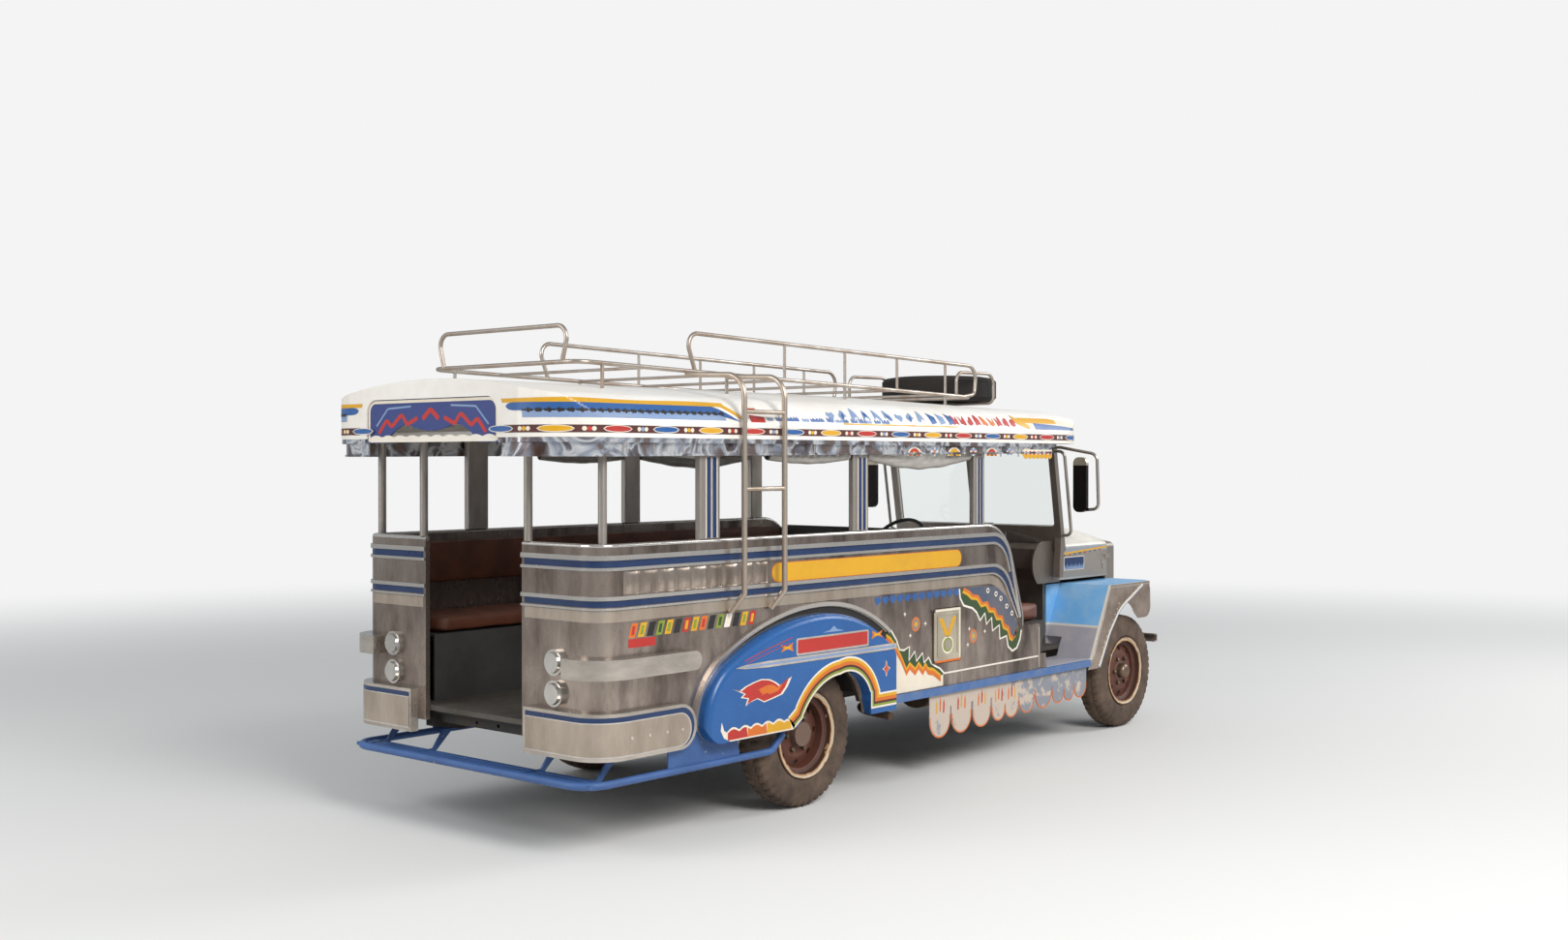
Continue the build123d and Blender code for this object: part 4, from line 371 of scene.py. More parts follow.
def wheel_finish(name, wheel_x):
    """Brick enamel on the disc, tan on the rim's flange and rust round the hub, told apart by radius."""
    material = enamel(name, "#61382a", "#2c1c15", chips="#9a7450", soil=0.6, chipped=0.3, rough=0.5)
    tree, shader, painted, place = open_finish(material)
    reach = add(tree, "ShaderNodeVectorMath", {0: place, 1: (wheel_x, 0.0, HUB_Z)}, operation="SUBTRACT")
    flat = add(tree, "ShaderNodeVectorMath", {0: reach, 1: (1.0, 0.0, 1.0)}, operation="MULTIPLY")
    away = add(tree, "ShaderNodeVectorMath", {0: flat}, operation="LENGTH")
    worn = add(tree, "ShaderNodeTexNoise", {"Vector": place, "Scale": 14.0, "Detail": 5.0})
    ragged = add(tree, "ShaderNodeMapRange", {0: worn, 1: 0.3, 2: 0.7, 3: -0.006, 4: 0.006})
    radius = add(tree, "ShaderNodeMath", {0: away.outputs["Value"], 1: ragged}, operation="ADD")
    level = add(tree, "ShaderNodeMath", {0: radius, 1: 0.25}, operation="DIVIDE")
    zones = add(tree, "ShaderNodeValToRGB", {0: level})
    zones.color_ramp.interpolation = "CONSTANT"
    hub_to_disc = [(0.0, "#6a5346"), (0.26, "#000000"), (0.725, "#4a2c1e")]
    rim_to_flange = [(0.80, "#b08a62"), (0.835, "#c9b8a0"), (0.87, "#8e6a4a")]
    fill_ramp(zones.color_ramp, hub_to_disc + rim_to_flange)
    disc = add(tree, "ShaderNodeMath", {0: level, 1: 0.4925, 2: 0.2325}, operation="COMPARE")
    tone = add(tree, "ShaderNodeMix", {0: disc, 6: zones, 7: painted}, data_type="RGBA")
    feed(tree, shader, {"Base Color": tone.outputs[2]})
    return material


def turned_ring(name, profile, centre, axis_y):
    """A profile of (distance outward, radius) turned about the wheel's axle line."""
    angle = np.linspace(0, 2 * np.pi, 64, endpoint=False)
    out, radius = np.array(profile).T
    grid = np.dstack(
        [
            centre[0] + radius[:, None] * np.cos(angle),
            centre[1] + axis_y * out[:, None] + 0 * angle,
            centre[2] + radius[:, None] * np.sin(angle),
        ]
    )
    return surface(name, grid, wrap_v=True)


def nut_ring(name, centre, axis_y, circle, count, width, out0, out1):
    """Hexagonal nuts on a circle: each a six-sided prism with a narrowed crown, stood on the disc."""
    turn = np.linspace(0, 2 * np.pi, count, endpoint=False)
    corner = np.linspace(0, 2 * np.pi, 6, endpoint=False)
    rings, faces = [], []
    for out, share in ((out0, 1.0), (out1 - 0.003, 1.0), (out1, 0.8)):
        x = centre[0] + circle * np.cos(turn)[:, None] + width * share * np.cos(corner + turn[:, None])
        z = centre[2] + circle * np.sin(turn)[:, None] + width * share * np.sin(corner + turn[:, None])
        y = np.full_like(x, centre[1] + axis_y * out)
        rings.append(np.dstack([x, y, z]))
    stack = np.stack(rings, 1)
    for index in range(count):
        base = index * 18
        for low in (base, base + 6):
            faces += [[low + k, low + (k + 1) % 6, low + 6 + (k + 1) % 6, low + 6 + k] for k in range(6)]
        faces.append([base + 12 + k for k in range(6)])
    return mesh_piece(name, stack.reshape(-1, 3), faces)


rubber = tyre_rubber()
wheel_front = wheel_finish("front_wheel_enamel", FRONT_X)
wheel_rear = wheel_finish("rear_wheel_enamel", REAR_X)
nut_steel = metal_sheet("nut_steel", "#7b6a58", "#4a3a2c", rough=0.45)
cap_iron = metal_sheet("cap_iron", "#8a7565", "#5a4234", rough=0.36, smear_and_reflection_share=0.7)
# distance outward, radius
cap = [(0.043, 0.0505), (0.060, 0.0500), (0.082, 0.0470), (0.094, 0.036), (0.099, 0.018), (0.100, 0.0005)]
# name, X, side, disc face beyond the wheel's middle, finish of the disc
road_wheel_table = (
    ("front_right", FRONT_X, -1, 0.042, wheel_front),
    ("front_left", FRONT_X, 1, 0.042, wheel_front),
    ("rear_right", REAR_X, -1, 0.012, wheel_rear),
    ("rear_left", REAR_X, 1, 0.012, wheel_rear),
)
for wheel_name, wheel_x, side, face_out, disc_finish in road_wheel_table:
    centre = (wheel_x, side * TRACK_Y, HUB_Z)
    body_name = f"road_wheel_{wheel_name}"
    ring = wear(tyre_ring(f"tread_{wheel_name}", centre), rubber, body_name)
    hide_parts(f"tyre_{wheel_name}")
    dress(f"wheel_{wheel_name}", disc_finish)
    nuts = nut_ring(f"nuts_{wheel_name}", centre, side, 0.088, 6, 0.0135, face_out, face_out + 0.020)
    wear(nuts, nut_steel, body_name)
    if wheel_x == FRONT_X:
        grease_cap = smooth(turned_ring(f"grease_cap_{wheel_name}", cap, centre, side))
        wear(grease_cap, cap_iron, body_name)
dress("spare_wheel", enamel("spare_rubber", "#16130f", "#3a2f26", soil=0.5, chipped=0.0, rough=0.8))

# Cabin floor, seat boxes and cushions: checker-worn sheet, painted ply and brown vinyl.
# Each cushion is a crowned pad with sewn channels, laid on its box.
dress(
    "cabin_floor",
    enamel("floor_sheet_paint", "#57514a", "#2c2722", soil=0.7, chipped=0.3, rough=0.6, metal=0.3)
)
dress("seat_frames", enamel("seat_box_paint", "#3c3a38", "#221f1c", soil=0.6, rough=0.6))


def vinyl(name, colour, crease):
    """Soft vinyl: even grain of small cells about 2 mm across, creased darker by use."""
    material, tree, shader, place = start_finish(name)
    cells = add(tree, "ShaderNodeTexVoronoi", {"Vector": place, "Scale": 260.0})
    use = add(tree, "ShaderNodeTexNoise", {"Vector": place, "Scale": 7.0, "Detail": 5.0})
    spread = add(tree, "ShaderNodeMapRange", {0: use, 1: 0.4, 2: 0.7, 3: 0.0, 4: 0.6})
    tone = add(tree, "ShaderNodeMix", {0: spread, 6: linear(colour), 7: linear(crease)}, data_type="RGBA")
    relief = add(
        tree, "ShaderNodeBump", {"Strength": 0.25, "Distance": 0.001, "Height": cells.outputs["Distance"]}
    )
    feed(tree, shader, {"Base Color": tone.outputs[2], "Roughness": 0.5, "Normal": relief})
    return material


def channelled_pad(name, low, high, along, channel, crown_axis):
    """A stuffed pad in a box: rounded-rectangle sections along one axis, swelling between sewn channels.

    u runs along the pad with a groove every channel metres, v round the section as a superellipse."""
    low, high = np.array(low), np.array(high)
    middle, reach = (low + high) / 2, (high - low) / 2
    order = [along] + [axis for axis in range(3) if axis != along]
    rows = max(24, int(2 * reach[along] / channel) * 12)
    u = np.linspace(-1, 1, rows)
    v = np.linspace(0, 2 * np.pi, 48, endpoint=False)
    end = np.clip((1 - np.abs(u)) * reach[along] / 0.035, 0, 1)
    close = np.sqrt(1 - (1 - end) ** 2) * 0.12 + 0.88
    close[[0, -1]] = 0.0
    close[[1, -2]] = 0.80
    count = max(1, round(2 * reach[along] / channel))
    swell = 1 - 0.07 * np.abs(np.cos(np.pi * count * (u + 1) / 2)) ** 10
    power = 0.32
    crown_fall = 0.105
    a = np.sign(np.cos(v)) * np.abs(np.cos(v)) ** power
    b = np.sign(np.sin(v)) * np.abs(np.sin(v)) ** power
    points = np.zeros((rows, v.size, 3))
    points[:, :, order[0]] = middle[order[0]] + (u * reach[order[0]])[:, None]
    for share, axis in ((a, order[1]), (b, order[2])):
        factor = close * (swell if axis == crown_axis else 1.0)
        dome = 1.0
        if axis == crown_axis:
            other = b if share is a else a
            dome = 1 - crown_fall * other**2
        points[:, :, axis] = middle[axis] + reach[axis] * factor[:, None] * share[None, :] * dome
    return smooth(surface(name, points, wrap_v=True), 60)


brown_vinyl = vinyl("brown_seat_vinyl", "#6a3b26", "#3a2015")
# name, low corner, high corner, axis along, channel spacing, axis it swells on
pad_table = (
    ("bench_pad_right", (-2.390, -0.846, 0.9006), (0.730, -0.463, 0.990), 0, 0.39, 2),
    ("bench_pad_left", (-2.390, 0.463, 0.9006), (0.730, 0.846, 0.990), 0, 0.39, 2),
    ("bench_back_right", (-2.340, -0.854, 1.131), (0.680, -0.806, 1.339), 0, 0.39, 1),
    ("bench_back_left", (-2.340, 0.806, 1.131), (0.680, 0.854, 1.339), 0, 0.39, 1),
    ("front_pad", (0.872, -0.788, 0.7756), (1.288, 0.788, 0.885), 1, 0.26, 2),
    ("front_back", (0.782, -0.778, 0.906), (0.859, 0.778, 1.324), 1, 0.26, 0),
)
for pad_name, low, high, along, channel, crown_axis in pad_table:
    pad = channelled_pad(pad_name, low, high, along, channel, crown_axis)
    wear(pad, brown_vinyl, "body")
    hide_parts("seat_pads")

# Body walls: smeared stainless sheet over a steel frame, screwed on in panels; the smears are partly painted
# reflection.
# Painted and tape-cut shapes lie on it: bands that fall with the mouldings, a banner, flames and badges.
wall_y = 0.880
wall_rear_x = -2.405
paint_step = 0.0006
paint_root = 0.0004
wrap_lift = 0.0011
wrap_step = 0.0005
dress("body_sides", metal_sheet("smear_and_reflection_stainless", "#a5978d", "#4f433d", rough=0.26, smear_and_reflection_share=0.95))
dress("rear_corners", metal_sheet("corner_stainless", "#ac9e93", "#5a4d45", rough=0.25, smear_and_reflection_share=0.9))


def rounded(points, radii, steps=14):
    """Points along a path with its inner corners turned on arcs of the given radii."""
    points = np.array(points, float)
    path = [points[0]]
    for before, corner, after, radius in zip(points[:-2], points[1:-1], points[2:], radii):
        into = (before - corner) / np.linalg.norm(before - corner)
        away = (after - corner) / np.linalg.norm(after - corner)
        half = np.arccos(np.clip(into @ away, -1, 1)) / 2
        reach = radius / np.tan(half)
        centre = corner + (into + away) / np.linalg.norm(into + away) * radius / np.sin(half)
        start, stop = corner + into * reach - centre, corner + away * reach - centre
        sweep = np.arccos(np.clip(start @ stop / radius**2, -1, 1))
        t = np.linspace(0, 1, steps)[:, None]
        path += list(centre + (np.sin((1 - t) * sweep) * start + np.sin(t * sweep) * stop) / np.sin(sweep))
    path.append(points[-1])
    return np.array(path)


def ribbon(path, width):
    """Outline of a strip of one width along an open path: one edge out, the other back."""
    path = np.asarray(path, float)
    run = np.gradient(path, axis=0)
    run /= np.linalg.norm(run, axis=1)[:, None]
    normal = np.stack([-run[:, 1], run[:, 0]], 1)
    return np.vstack([path + normal * width / 2, (path - normal * width / 2)[::-1]])


def plates(name, shapes, face, sides=(-1, 1), body="body", plane="y"):
    """Flat shapes of paint or thin sheet: each outline (X, Z) is a face lifted off its panel, and a rim.

    A shape is (outline, paint, layer), and each layer stands one step further out. Plane "x" takes outlines
    as (Y, Z) on a cross plane that far behind the origin."""
    verts, faces, numbers = [], [], []
    for side in sides:
        for outline, number, layer in shapes:
            flat = np.asarray(outline, float)
            out = face + paint_step * (layer + 1)
            level = np.concatenate([np.full(len(flat), out), np.full(len(flat), face - paint_root)])
            ring = np.vstack([flat, flat])
            if plane == "y":
                block = np.stack([ring[:, 0], side * level, ring[:, 1]], 1)
            else:
                block = np.stack([-level, ring[:, 0], ring[:, 1]], 1)
            start, count = len(verts), len(flat)
            verts += block.tolist()
            faces.append([start + k for k in range(count)])
            faces += [
                [start + k, start + (k + 1) % count, start + count + (k + 1) % count, start + count + k]
                for k in range(count)
            ]
            faces.append([start + count + k for k in range(count)][::-1])
            numbers += [number] * (count + 2)
    piece = mesh_piece(name, verts, faces, numbers, cut=True)
    for finish in paints:
        piece.data.materials.append(finish)
    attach(piece, body)


def box_outline(x0, x1, z0, z1, radius=0.0):
    """A rectangle with rounded corners."""
    if radius <= 0:
        return np.array([(x0, z0), (x1, z0), (x1, z1), (x0, z1)])
    turn = np.linspace(0, np.pi / 2, 6)
    corners = ((x1, z0, -np.pi / 2), (x1, z1, 0), (x0, z1, np.pi / 2), (x0, z0, np.pi))
    inset = ((-1, 1), (-1, -1), (1, -1), (1, 1))
    return np.vstack(
        [
            np.stack(
                [x + sx * radius + radius * np.cos(turn + a), z + sz * radius + radius * np.sin(turn + a)], 1
            )
            for (x, z, a), (sx, sz) in zip(corners, inset)
        ]
    )


def oval(x, z, rx, rz, steps):
    """An ellipse of straight steps."""
    turn = np.linspace(0, 2 * np.pi, steps, endpoint=False)
    return np.stack([x + rx * np.cos(turn), z + rz * np.sin(turn)], 1)


def falling(z, corner_x, foot_x, foot_z, bend):
    """A line along the wall that turns down beside the driver."""
    return rounded([(wall_rear_x, z), (corner_x, z), (foot_x, foot_z)], [bend])


def wrapped(run, z, lift, face, turns):
    """Point on a rounded body's right side at a height and a distance along it.

    The distance is X beside the wall; past a corner it goes on as arc length and then straight across."""
    y = face(z) + 0 * run
    x, out = run.copy(), y + lift
    for turn_x, turn_y, radius, way, end in turns:
        meet = turn_x + way * np.sqrt(np.maximum(radius**2 - (y - turn_y) ** 2, 0.0))
        past = way * (run - meet)
        start = np.arctan2(y - turn_y, way * (meet - turn_x))
        angle = np.maximum(start - np.maximum(past, 0.0) / radius, 0.0)
        across = np.maximum(past - start * radius, 0.0)
        round_x = np.minimum(way * turn_x + (radius + lift) * np.cos(angle), end + lift) * way
        x = np.where(past > 0, round_x, x)
        out = np.where(past > 0, turn_y + (radius + lift) * np.sin(angle) - across, out)
    return np.stack([x, -out, z + 0.5 * lift], -1)


def wrapped_paint(name, patches, face, turns, columns):
    """Painted shapes laid round a rounded body, one mesh for both sides.

    A patch is (distances, low edge, high edge, paint, layer): rows follow the distances, columns climb."""
    verts, faces, numbers = [], [], []
    for side in (1, -1):
        for run, low, high, paint, layer in patches:
            run = np.asarray(run, float)
            share = np.linspace(0, 1, columns)
            low, high = low + 0 * run, high + 0 * run
            z = low[:, None] * (1 - share) + high[:, None] * share
            points = wrapped(run[:, None] + 0 * share, z, wrap_lift + wrap_step * layer, face, turns)
            start = len(verts)
            verts += (points * (1, side, 1)).reshape(-1, 3).tolist()
            for i in range(len(run) - 1):
                for j in range(columns - 1):
                    corner = start + i * columns + j
                    quad = [corner, corner + columns, corner + columns + 1, corner + 1]
                    faces.append(quad[::side])
                    numbers.append(paint)
    piece = smooth(mesh_piece(name, verts, faces, numbers, outward=False), 60)
    for finish in paints:
        piece.data.materials.append(finish)
    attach(piece, "body")


# name, colour, stain, soil, roughness
paint_table = (
    ("navy_enamel", "#152c54", "#2f4668", 0.35, 0.22),
    ("blue_enamel", "#24538f", "#4b6f96", 0.4, 0.26),
    ("pale_blue_enamel", "#7890b4", "#979ca6", 0.5, 0.35),
    ("cream_enamel", "#e2d6c2", "#b39c80", 0.35, 0.4),
    ("warm_white_enamel", "#e6ded0", "#b7a48c", 0.35, 0.38),
    ("yellow_enamel", "#d29c12", "#a8741c", 0.35, 0.35),
    ("orange_enamel", "#cf6a1c", "#93481c", 0.3, 0.35),
    ("red_enamel", "#b32a22", "#742019", 0.3, 0.35),
    ("green_enamel", "#2c4420", "#474d28", 0.3, 0.4),
    ("lime_enamel", "#7d8f2c", "#5b6126", 0.3, 0.4),
    ("black_enamel", "#1a1716", "#3c332c", 0.4, 0.4),
    ("maroon_enamel", "#4f1f1a", "#2d1613", 0.3, 0.4),
)
paints = []
for name, colour, stain, soil, rough in paint_table:
    paints.append(enamel(name, colour, stain, soil=soil, rough=rough))
paints.append(metal_sheet("pale_banded_steel", "#c2b4a4", "#8f7f71", rough=0.36, smear_and_reflection_share=0.7))
paints.append(metal_sheet("bright_trim_steel", "#d8d0c8", "#9d9288", rough=0.2, smear_and_reflection_share=0.45))
paints.append(enamel("slate_enamel", "#434e63", "#7a6a62", soil=0.7, chipped=0.2, rough=0.4))
NAVY, BLUE, PALE_BLUE, CREAM, WHITE, YELLOW, ORANGE, RED = range(8)
GREEN, LIME, BLACK, MAROON, PALE, BRIGHT, SLATE = range(8, 15)

wall_shapes = [
    (ribbon(falling(1.310, 0.706, 0.812, 1.000, 0.180), 0.036), NAVY, 0),
    (ribbon(falling(1.131, 0.687, 0.853, 0.840, 0.205), 0.030), NAVY, 0),
    (ribbon(falling(1.074, 0.640, 0.822, 0.795, 0.190), 0.050), PALE, 0),
]
banner = box_outline(-1.375, 0.265, 1.165, 1.262, 0.046)
wall_shapes += [(banner, ORANGE, 0), (box_outline(-1.372, 0.262, 1.168, 1.259, 0.044), YELLOW, 1)]
tulip = [(0, -0.026), (0.018, -0.012), (0.024, 0.008), (0.020, 0.026), (0.008, 0.012), (0, 0.026)]
tulip = np.array(tulip + [(-0.008, 0.012), (-0.020, 0.026), (-0.024, 0.008), (-0.018, -0.012)])
for k in range(12):
    spot = -0.520 + 0.0675 * k
    wall_shapes.append((tulip + (spot, 1.020), BLUE, 0))
    wall_shapes.append((oval(spot + 0.034, 1.020, 0.008, 0.008, 8), BLUE, 0))

# Flame that leaves the fender's bead and runs forward in teeth: white edge, green body, warm licks.
flame_edge = [(-0.445, 0.868), (-0.400, 0.850), (-0.352, 0.795), (-0.325, 0.742), (-0.285, 0.735)]
flame_edge += [(-0.235, 0.750), (-0.240, 0.675), (-0.185, 0.720), (-0.170, 0.665), (-0.112, 0.705)]
flame_edge += [(-0.098, 0.650), (-0.055, 0.675), (-0.030, 0.640), (0.005, 0.622), (0.050, 0.605)]
flame_edge = np.array(flame_edge + [(0.095, 0.572)])
flame_low = [(0.060, 0.560), (-0.010, 0.600), (-0.060, 0.610), (-0.085, 0.640), (-0.110, 0.612)]
flame_low += [(-0.150, 0.650), (-0.180, 0.618), (-0.232, 0.655), (-0.262, 0.625), (-0.310, 0.700)]
flame_low = np.array(flame_low + [(-0.360, 0.760), (-0.405, 0.805), (-0.445, 0.825)])
cream_field = [(-0.445, 0.830), (-0.400, 0.800), (-0.310, 0.700), (-0.240, 0.650), (-0.100, 0.610)]
cream_field = np.array(cream_field + [(0.085, 0.570), (0.085, 0.505), (-0.445, 0.505)])
wall_shapes += [
    (cream_field, CREAM, 0),
    (np.vstack([flame_edge, flame_low]), GREEN, 1),
    (ribbon(flame_edge, 0.010), WHITE, 2),
    (np.vstack([flame_low + (0.0, 0.012), (flame_low - (0.0, 0.016))[::-1]]), YELLOW, 2),
    (np.vstack([flame_low - (0.0, 0.004), (flame_low - (0.0, 0.030))[::-1]]), ORANGE, 3),
]
# Second flame under the falling band: a blue-grey field edged by orange, yellow, green and white teeth.
tooth_edge = [(0.243, 1.036), (0.250, 0.985), (0.285, 0.940), (0.375, 0.918), (0.418, 0.890), (0.452, 0.842)]
tooth_edge += [(0.503, 0.880), (0.520, 0.815), (0.573, 0.850), (0.582, 0.772), (0.655, 0.800), (0.660, 0.718)]
tooth_edge += [(0.732, 0.730), (0.750, 0.665), (0.797, 0.635), (0.845, 0.650), (0.880, 0.700), (0.893, 0.752)]
tooth_edge = np.array(tooth_edge)
tooth_inner = [(0.285, 1.036), (0.335, 1.018), (0.375, 0.992), (0.430, 0.985), (0.475, 0.940), (0.525, 0.945)]
tooth_inner += [(0.555, 0.905), (0.605, 0.900), (0.635, 0.855), (0.685, 0.850), (0.705, 0.800)]
tooth_inner = np.array(
    tooth_inner + [(0.755, 0.780), (0.775, 0.730), (0.805, 0.715), (0.840, 0.740), (0.855, 0.782)]
)
field = np.vstack([tooth_inner, [(0.800, 0.860), (0.740, 0.960), (0.640, 1.020), (0.560, 1.034)]])
wall_shapes += [
    (field, SLATE, 1),
    (np.vstack([tooth_edge, tooth_inner[::-1]]), GREEN, 1),
    (ribbon(tooth_edge, 0.012), WHITE, 3),
    (np.vstack([tooth_inner + (-0.004, -0.008), (tooth_inner + (-0.012, -0.024))[::-1]]), YELLOW, 2),
    (np.vstack([tooth_inner + (0.006, 0.004), (tooth_inner + (-0.004, -0.010))[::-1]]), ORANGE, 3),
]
for flower_x, flower_z in ((0.535, 1.010), (0.672, 0.955), (0.735, 0.905), (0.792, 0.860), (0.620, 0.985)):
    wall_shapes.append((oval(flower_x, flower_z, 0.016, 0.016, 10), CREAM, 2))
    wall_shapes.append((oval(flower_x, flower_z, 0.008, 0.008, 8), NAVY, 3))
badge_rings = ((0.040, 28, ORANGE), (0.031, 28, PALE), (0.014, 12, YELLOW))
for badge_x, badge_z in ((-0.175, 0.868), (0.385, 0.757)):
    for layer, (radius, steps, paint) in enumerate(badge_rings):
        wall_shapes.append((oval(badge_x, badge_z, radius, radius, steps), paint, layer))
petals = [(0, 0.014), (0.004, 0.004), (0.014, 0), (0.004, -0.004), (0, -0.014), (-0.004, -0.004)]
petals = np.array(petals + [(-0.014, 0), (-0.004, 0.004)])
spray_table = [(-0.275, 0.930), (-0.225, 0.810), (-0.085, 0.865), (0.345, 0.802), (0.330, 0.712)]
spray_table.append((0.505, 0.775))
for spray_x, spray_z in spray_table:
    wall_shapes.append((petals + (spray_x, spray_z), CREAM, 0))

# Row of slanted blocks at the rear, in warm and green tones by turns, each with a vein.
block_paints = [ORANGE, YELLOW, BLACK, LIME, YELLOW, BLACK, RED, YELLOW]
block_paints += [ORANGE, BLACK, LIME, WHITE, BLACK, YELLOW, RED]
vein_paints = {RED: YELLOW, ORANGE: RED, YELLOW: LIME, LIME: GREEN}
for k, paint in enumerate(block_paints):
    x0 = -2.350 + k * 0.057
    leaf = np.array([(x0, 0.973), (x0 + 0.040, 0.973), (x0 + 0.062, 1.037), (x0 + 0.022, 1.037)])
    wall_shapes.append((leaf, paint, 0))
    if paint != BLACK:
        vein = leaf.mean(0) + (leaf - leaf.mean(0)) * (0.45, 0.62)
        wall_shapes.append((vein, vein_paints.get(paint, CREAM), 1))
wall_shapes.append((box_outline(-2.350, -2.180, 0.928, 0.968, 0.008), RED, 0))
wall_shapes.append((ribbon([(0.085, 0.572), (0.600, 0.575), (1.085, 0.578)], 0.009), WHITE, 0))
wall_shapes.append((ribbon([(1.096, 0.510), (1.096, 0.755)], 0.008), BRIGHT, 0))
plates("wall_paintwork", wall_shapes, wall_y)
tail_run = np.linspace(-2.975, -2.404, 40)
tail_patches = [
    (tail_run, 1.292, 1.328, NAVY, -1),
    (tail_run, 1.116, 1.146, NAVY, -1),
    (tail_run, 1.049, 1.099, PALE, -1),
]
# corner centre X, corner centre Y, radius, direction along X, end face
corner_turns = ((wall_rear_x, 0.760, 0.120, -1, 2.525),)


def wall_plane(z):
    """Half width of the body wall, the same at every height."""
    return wall_y + 0 * z


wrapped_paint("corner_paintwork", tail_patches, wall_plane, corner_turns, 3)


# Quilted bands: stainless strips on the rear of both walls, set between the painted bands.
# They're embossed in square pillows and screwed on along their edges.
def quilted_band(name, x0, x1, z0, z1, side, cell, rise):
    """Embossed band: a row of square pillows pressed out of the sheet, highest at each middle.

    Height is rise times the product of two flattened sines, one along the band and one across it."""
    sheet_lift = 0.0008
    count = max(1, round((x1 - x0) / cell))
    u = np.linspace(0, count, count * 12 + 1)
    v = np.linspace(0, 1, 13)
    swell = np.abs(np.sin(np.pi * u))[:, None] ** 0.42 * np.sin(np.pi * v)[None, :] ** 0.42
    grid = np.dstack(
        [
            x0 + (x1 - x0) * (u / count)[:, None] + 0 * v[None, :],
            side * (wall_y + sheet_lift + rise * swell),
            z0 + (z1 - z0) * v[None, :] + 0 * u[:, None],
        ]
    )
    back = grid.copy()
    back[:, :, 1] = side * (wall_y - paint_root)
    both = np.concatenate([grid, back[:, ::-1]], 1)
    return smooth(surface(name, both, wrap_v=True, caps=True), 60)


quilt_steel = metal_sheet(
    "quilted_steel", "#b3a598", "#6c5d53", rough=0.24, smear_and_reflection_share=0.8, stretch=(9.0, 1.0, 1.0)
)
for side, side_name in ((-1, "right"), (1, "left")):
    quilt = quilted_band(f"quilted_band_{side_name}", -2.380, -1.405, 1.168, 1.272, side, 0.108, 0.0085)
    wear(quilt, quilt_steel)

# Access door in the right wall: a shallow sheet tray with a raised rim, hung on one hinge line.
# A cream border, a ringed oval and a yellow bow are painted on it.
dress("access_door", metal_sheet("access_door_steel", "#d2c7b2", "#9c9080", rough=0.35, smear_and_reflection_share=0.6))
ribbon_bow = [(0.045, 0.880), (0.085, 0.880), (0.130, 0.800), (0.178, 0.885), (0.215, 0.885), (0.150, 0.775)]
ribbon_bow = np.array(ribbon_bow + [(0.110, 0.775)])
door_shapes = [
    (box_outline(0.004, 0.016, 0.646, 0.932), CREAM, 0),
    (box_outline(0.244, 0.256, 0.646, 0.932), CREAM, 0),
    (box_outline(0.016, 0.244, 0.920, 0.932), CREAM, 0),
    (ribbon_bow, YELLOW, 0),
    (oval(0.130, 0.730, 0.056, 0.050, 28), CREAM, 0),
    (oval(0.130, 0.730, 0.046, 0.040, 24), LIME, 1),
    (oval(0.130, 0.730, 0.036, 0.030, 24), PALE, 2),
    (box_outline(0.004, 0.256, 0.634, 0.646), ORANGE, 2),
]
plates("access_door_badge", door_shapes, wall_y, sides=(-1,), body="access_door")

# Mouldings: the plated sill tube and half-round strips.
# They're bent to follow the painted bands and screwed to the walls.
dress(
    "body_mouldings",
    metal_sheet("plated_moulding", "#dcd6cf", "#9c9792", rough=0.16, smear_and_reflection_share=0.5, stretch=(3.0, 1.0, 1.0))
)

# Window pillars: boxed sheet posts, striped blue, with a plated tube on their edges.
# They're welded between the sill and the roof, and the stripes are taped on.
dress("window_pillars", metal_sheet("pillar_steel", "#b3aaa2", "#857b72", rough=0.34, smear_and_reflection_share=0.7))
# share of the width at its middle, share of the width it covers, paint, layer
stripe_table = ((0.56, 0.58, CREAM, 0), (0.42, 0.20, NAVY, 1), (0.70, 0.20, NAVY, 1), (0.56, 0.03, BRIGHT, 2))
pillar_shapes = []
for pillar_x, pillar_width in ((-1.885, 0.140), (-0.725, 0.130), (0.395, 0.110)):
    for share, width, paint, layer in stripe_table:
        x_mid = pillar_x + pillar_width * share
        stripe = box_outline(x_mid - pillar_width * width / 2, x_mid + pillar_width * width / 2, 1.402, 1.782)
        pillar_shapes.append((stripe, paint, layer))
plates("pillar_stripes", pillar_shapes, wall_y)

# Rear fenders: deep pressed blisters in gloss blue with a plated bead, a spear and banded arches.
# The outer face is flat and turns in at its crest; the bands ride round the wheel opening.
fender_face = 0.958
fender_bottom_z = 0.442
fender_blue = enamel(
    "fender_blue_enamel", "#1f5794", "#143f74", chips="#7c8ca0", soil=0.5, chipped=0.08, rough=0.2
)
fender_tree, fender_shader, gloss_blue, fender_place = open_finish(fender_blue)
fender_parts = add(fender_tree, "ShaderNodeSeparateXYZ", {0: fender_place})
fender_off = add(fender_tree, "ShaderNodeMath", {0: fender_parts.outputs["Y"]}, operation="ABSOLUTE")
on_bead = add(fender_tree, "ShaderNodeMath", {0: fender_off, 1: 0.8968}, operation="LESS_THAN")
bead_or_skin = add(
    fender_tree, "ShaderNodeMix", {0: on_bead, 6: gloss_blue, 7: linear("#c9c2ba")}, data_type="RGBA"
)
bead_sheen = add(fender_tree, "ShaderNodeMath", {0: on_bead, 1: 0.85}, operation="MULTIPLY")
feed(fender_tree, fender_shader, {"Base Color": bead_or_skin.outputs[2], "Metallic": bead_sheen})
dress("rear_fenders", fender_blue)


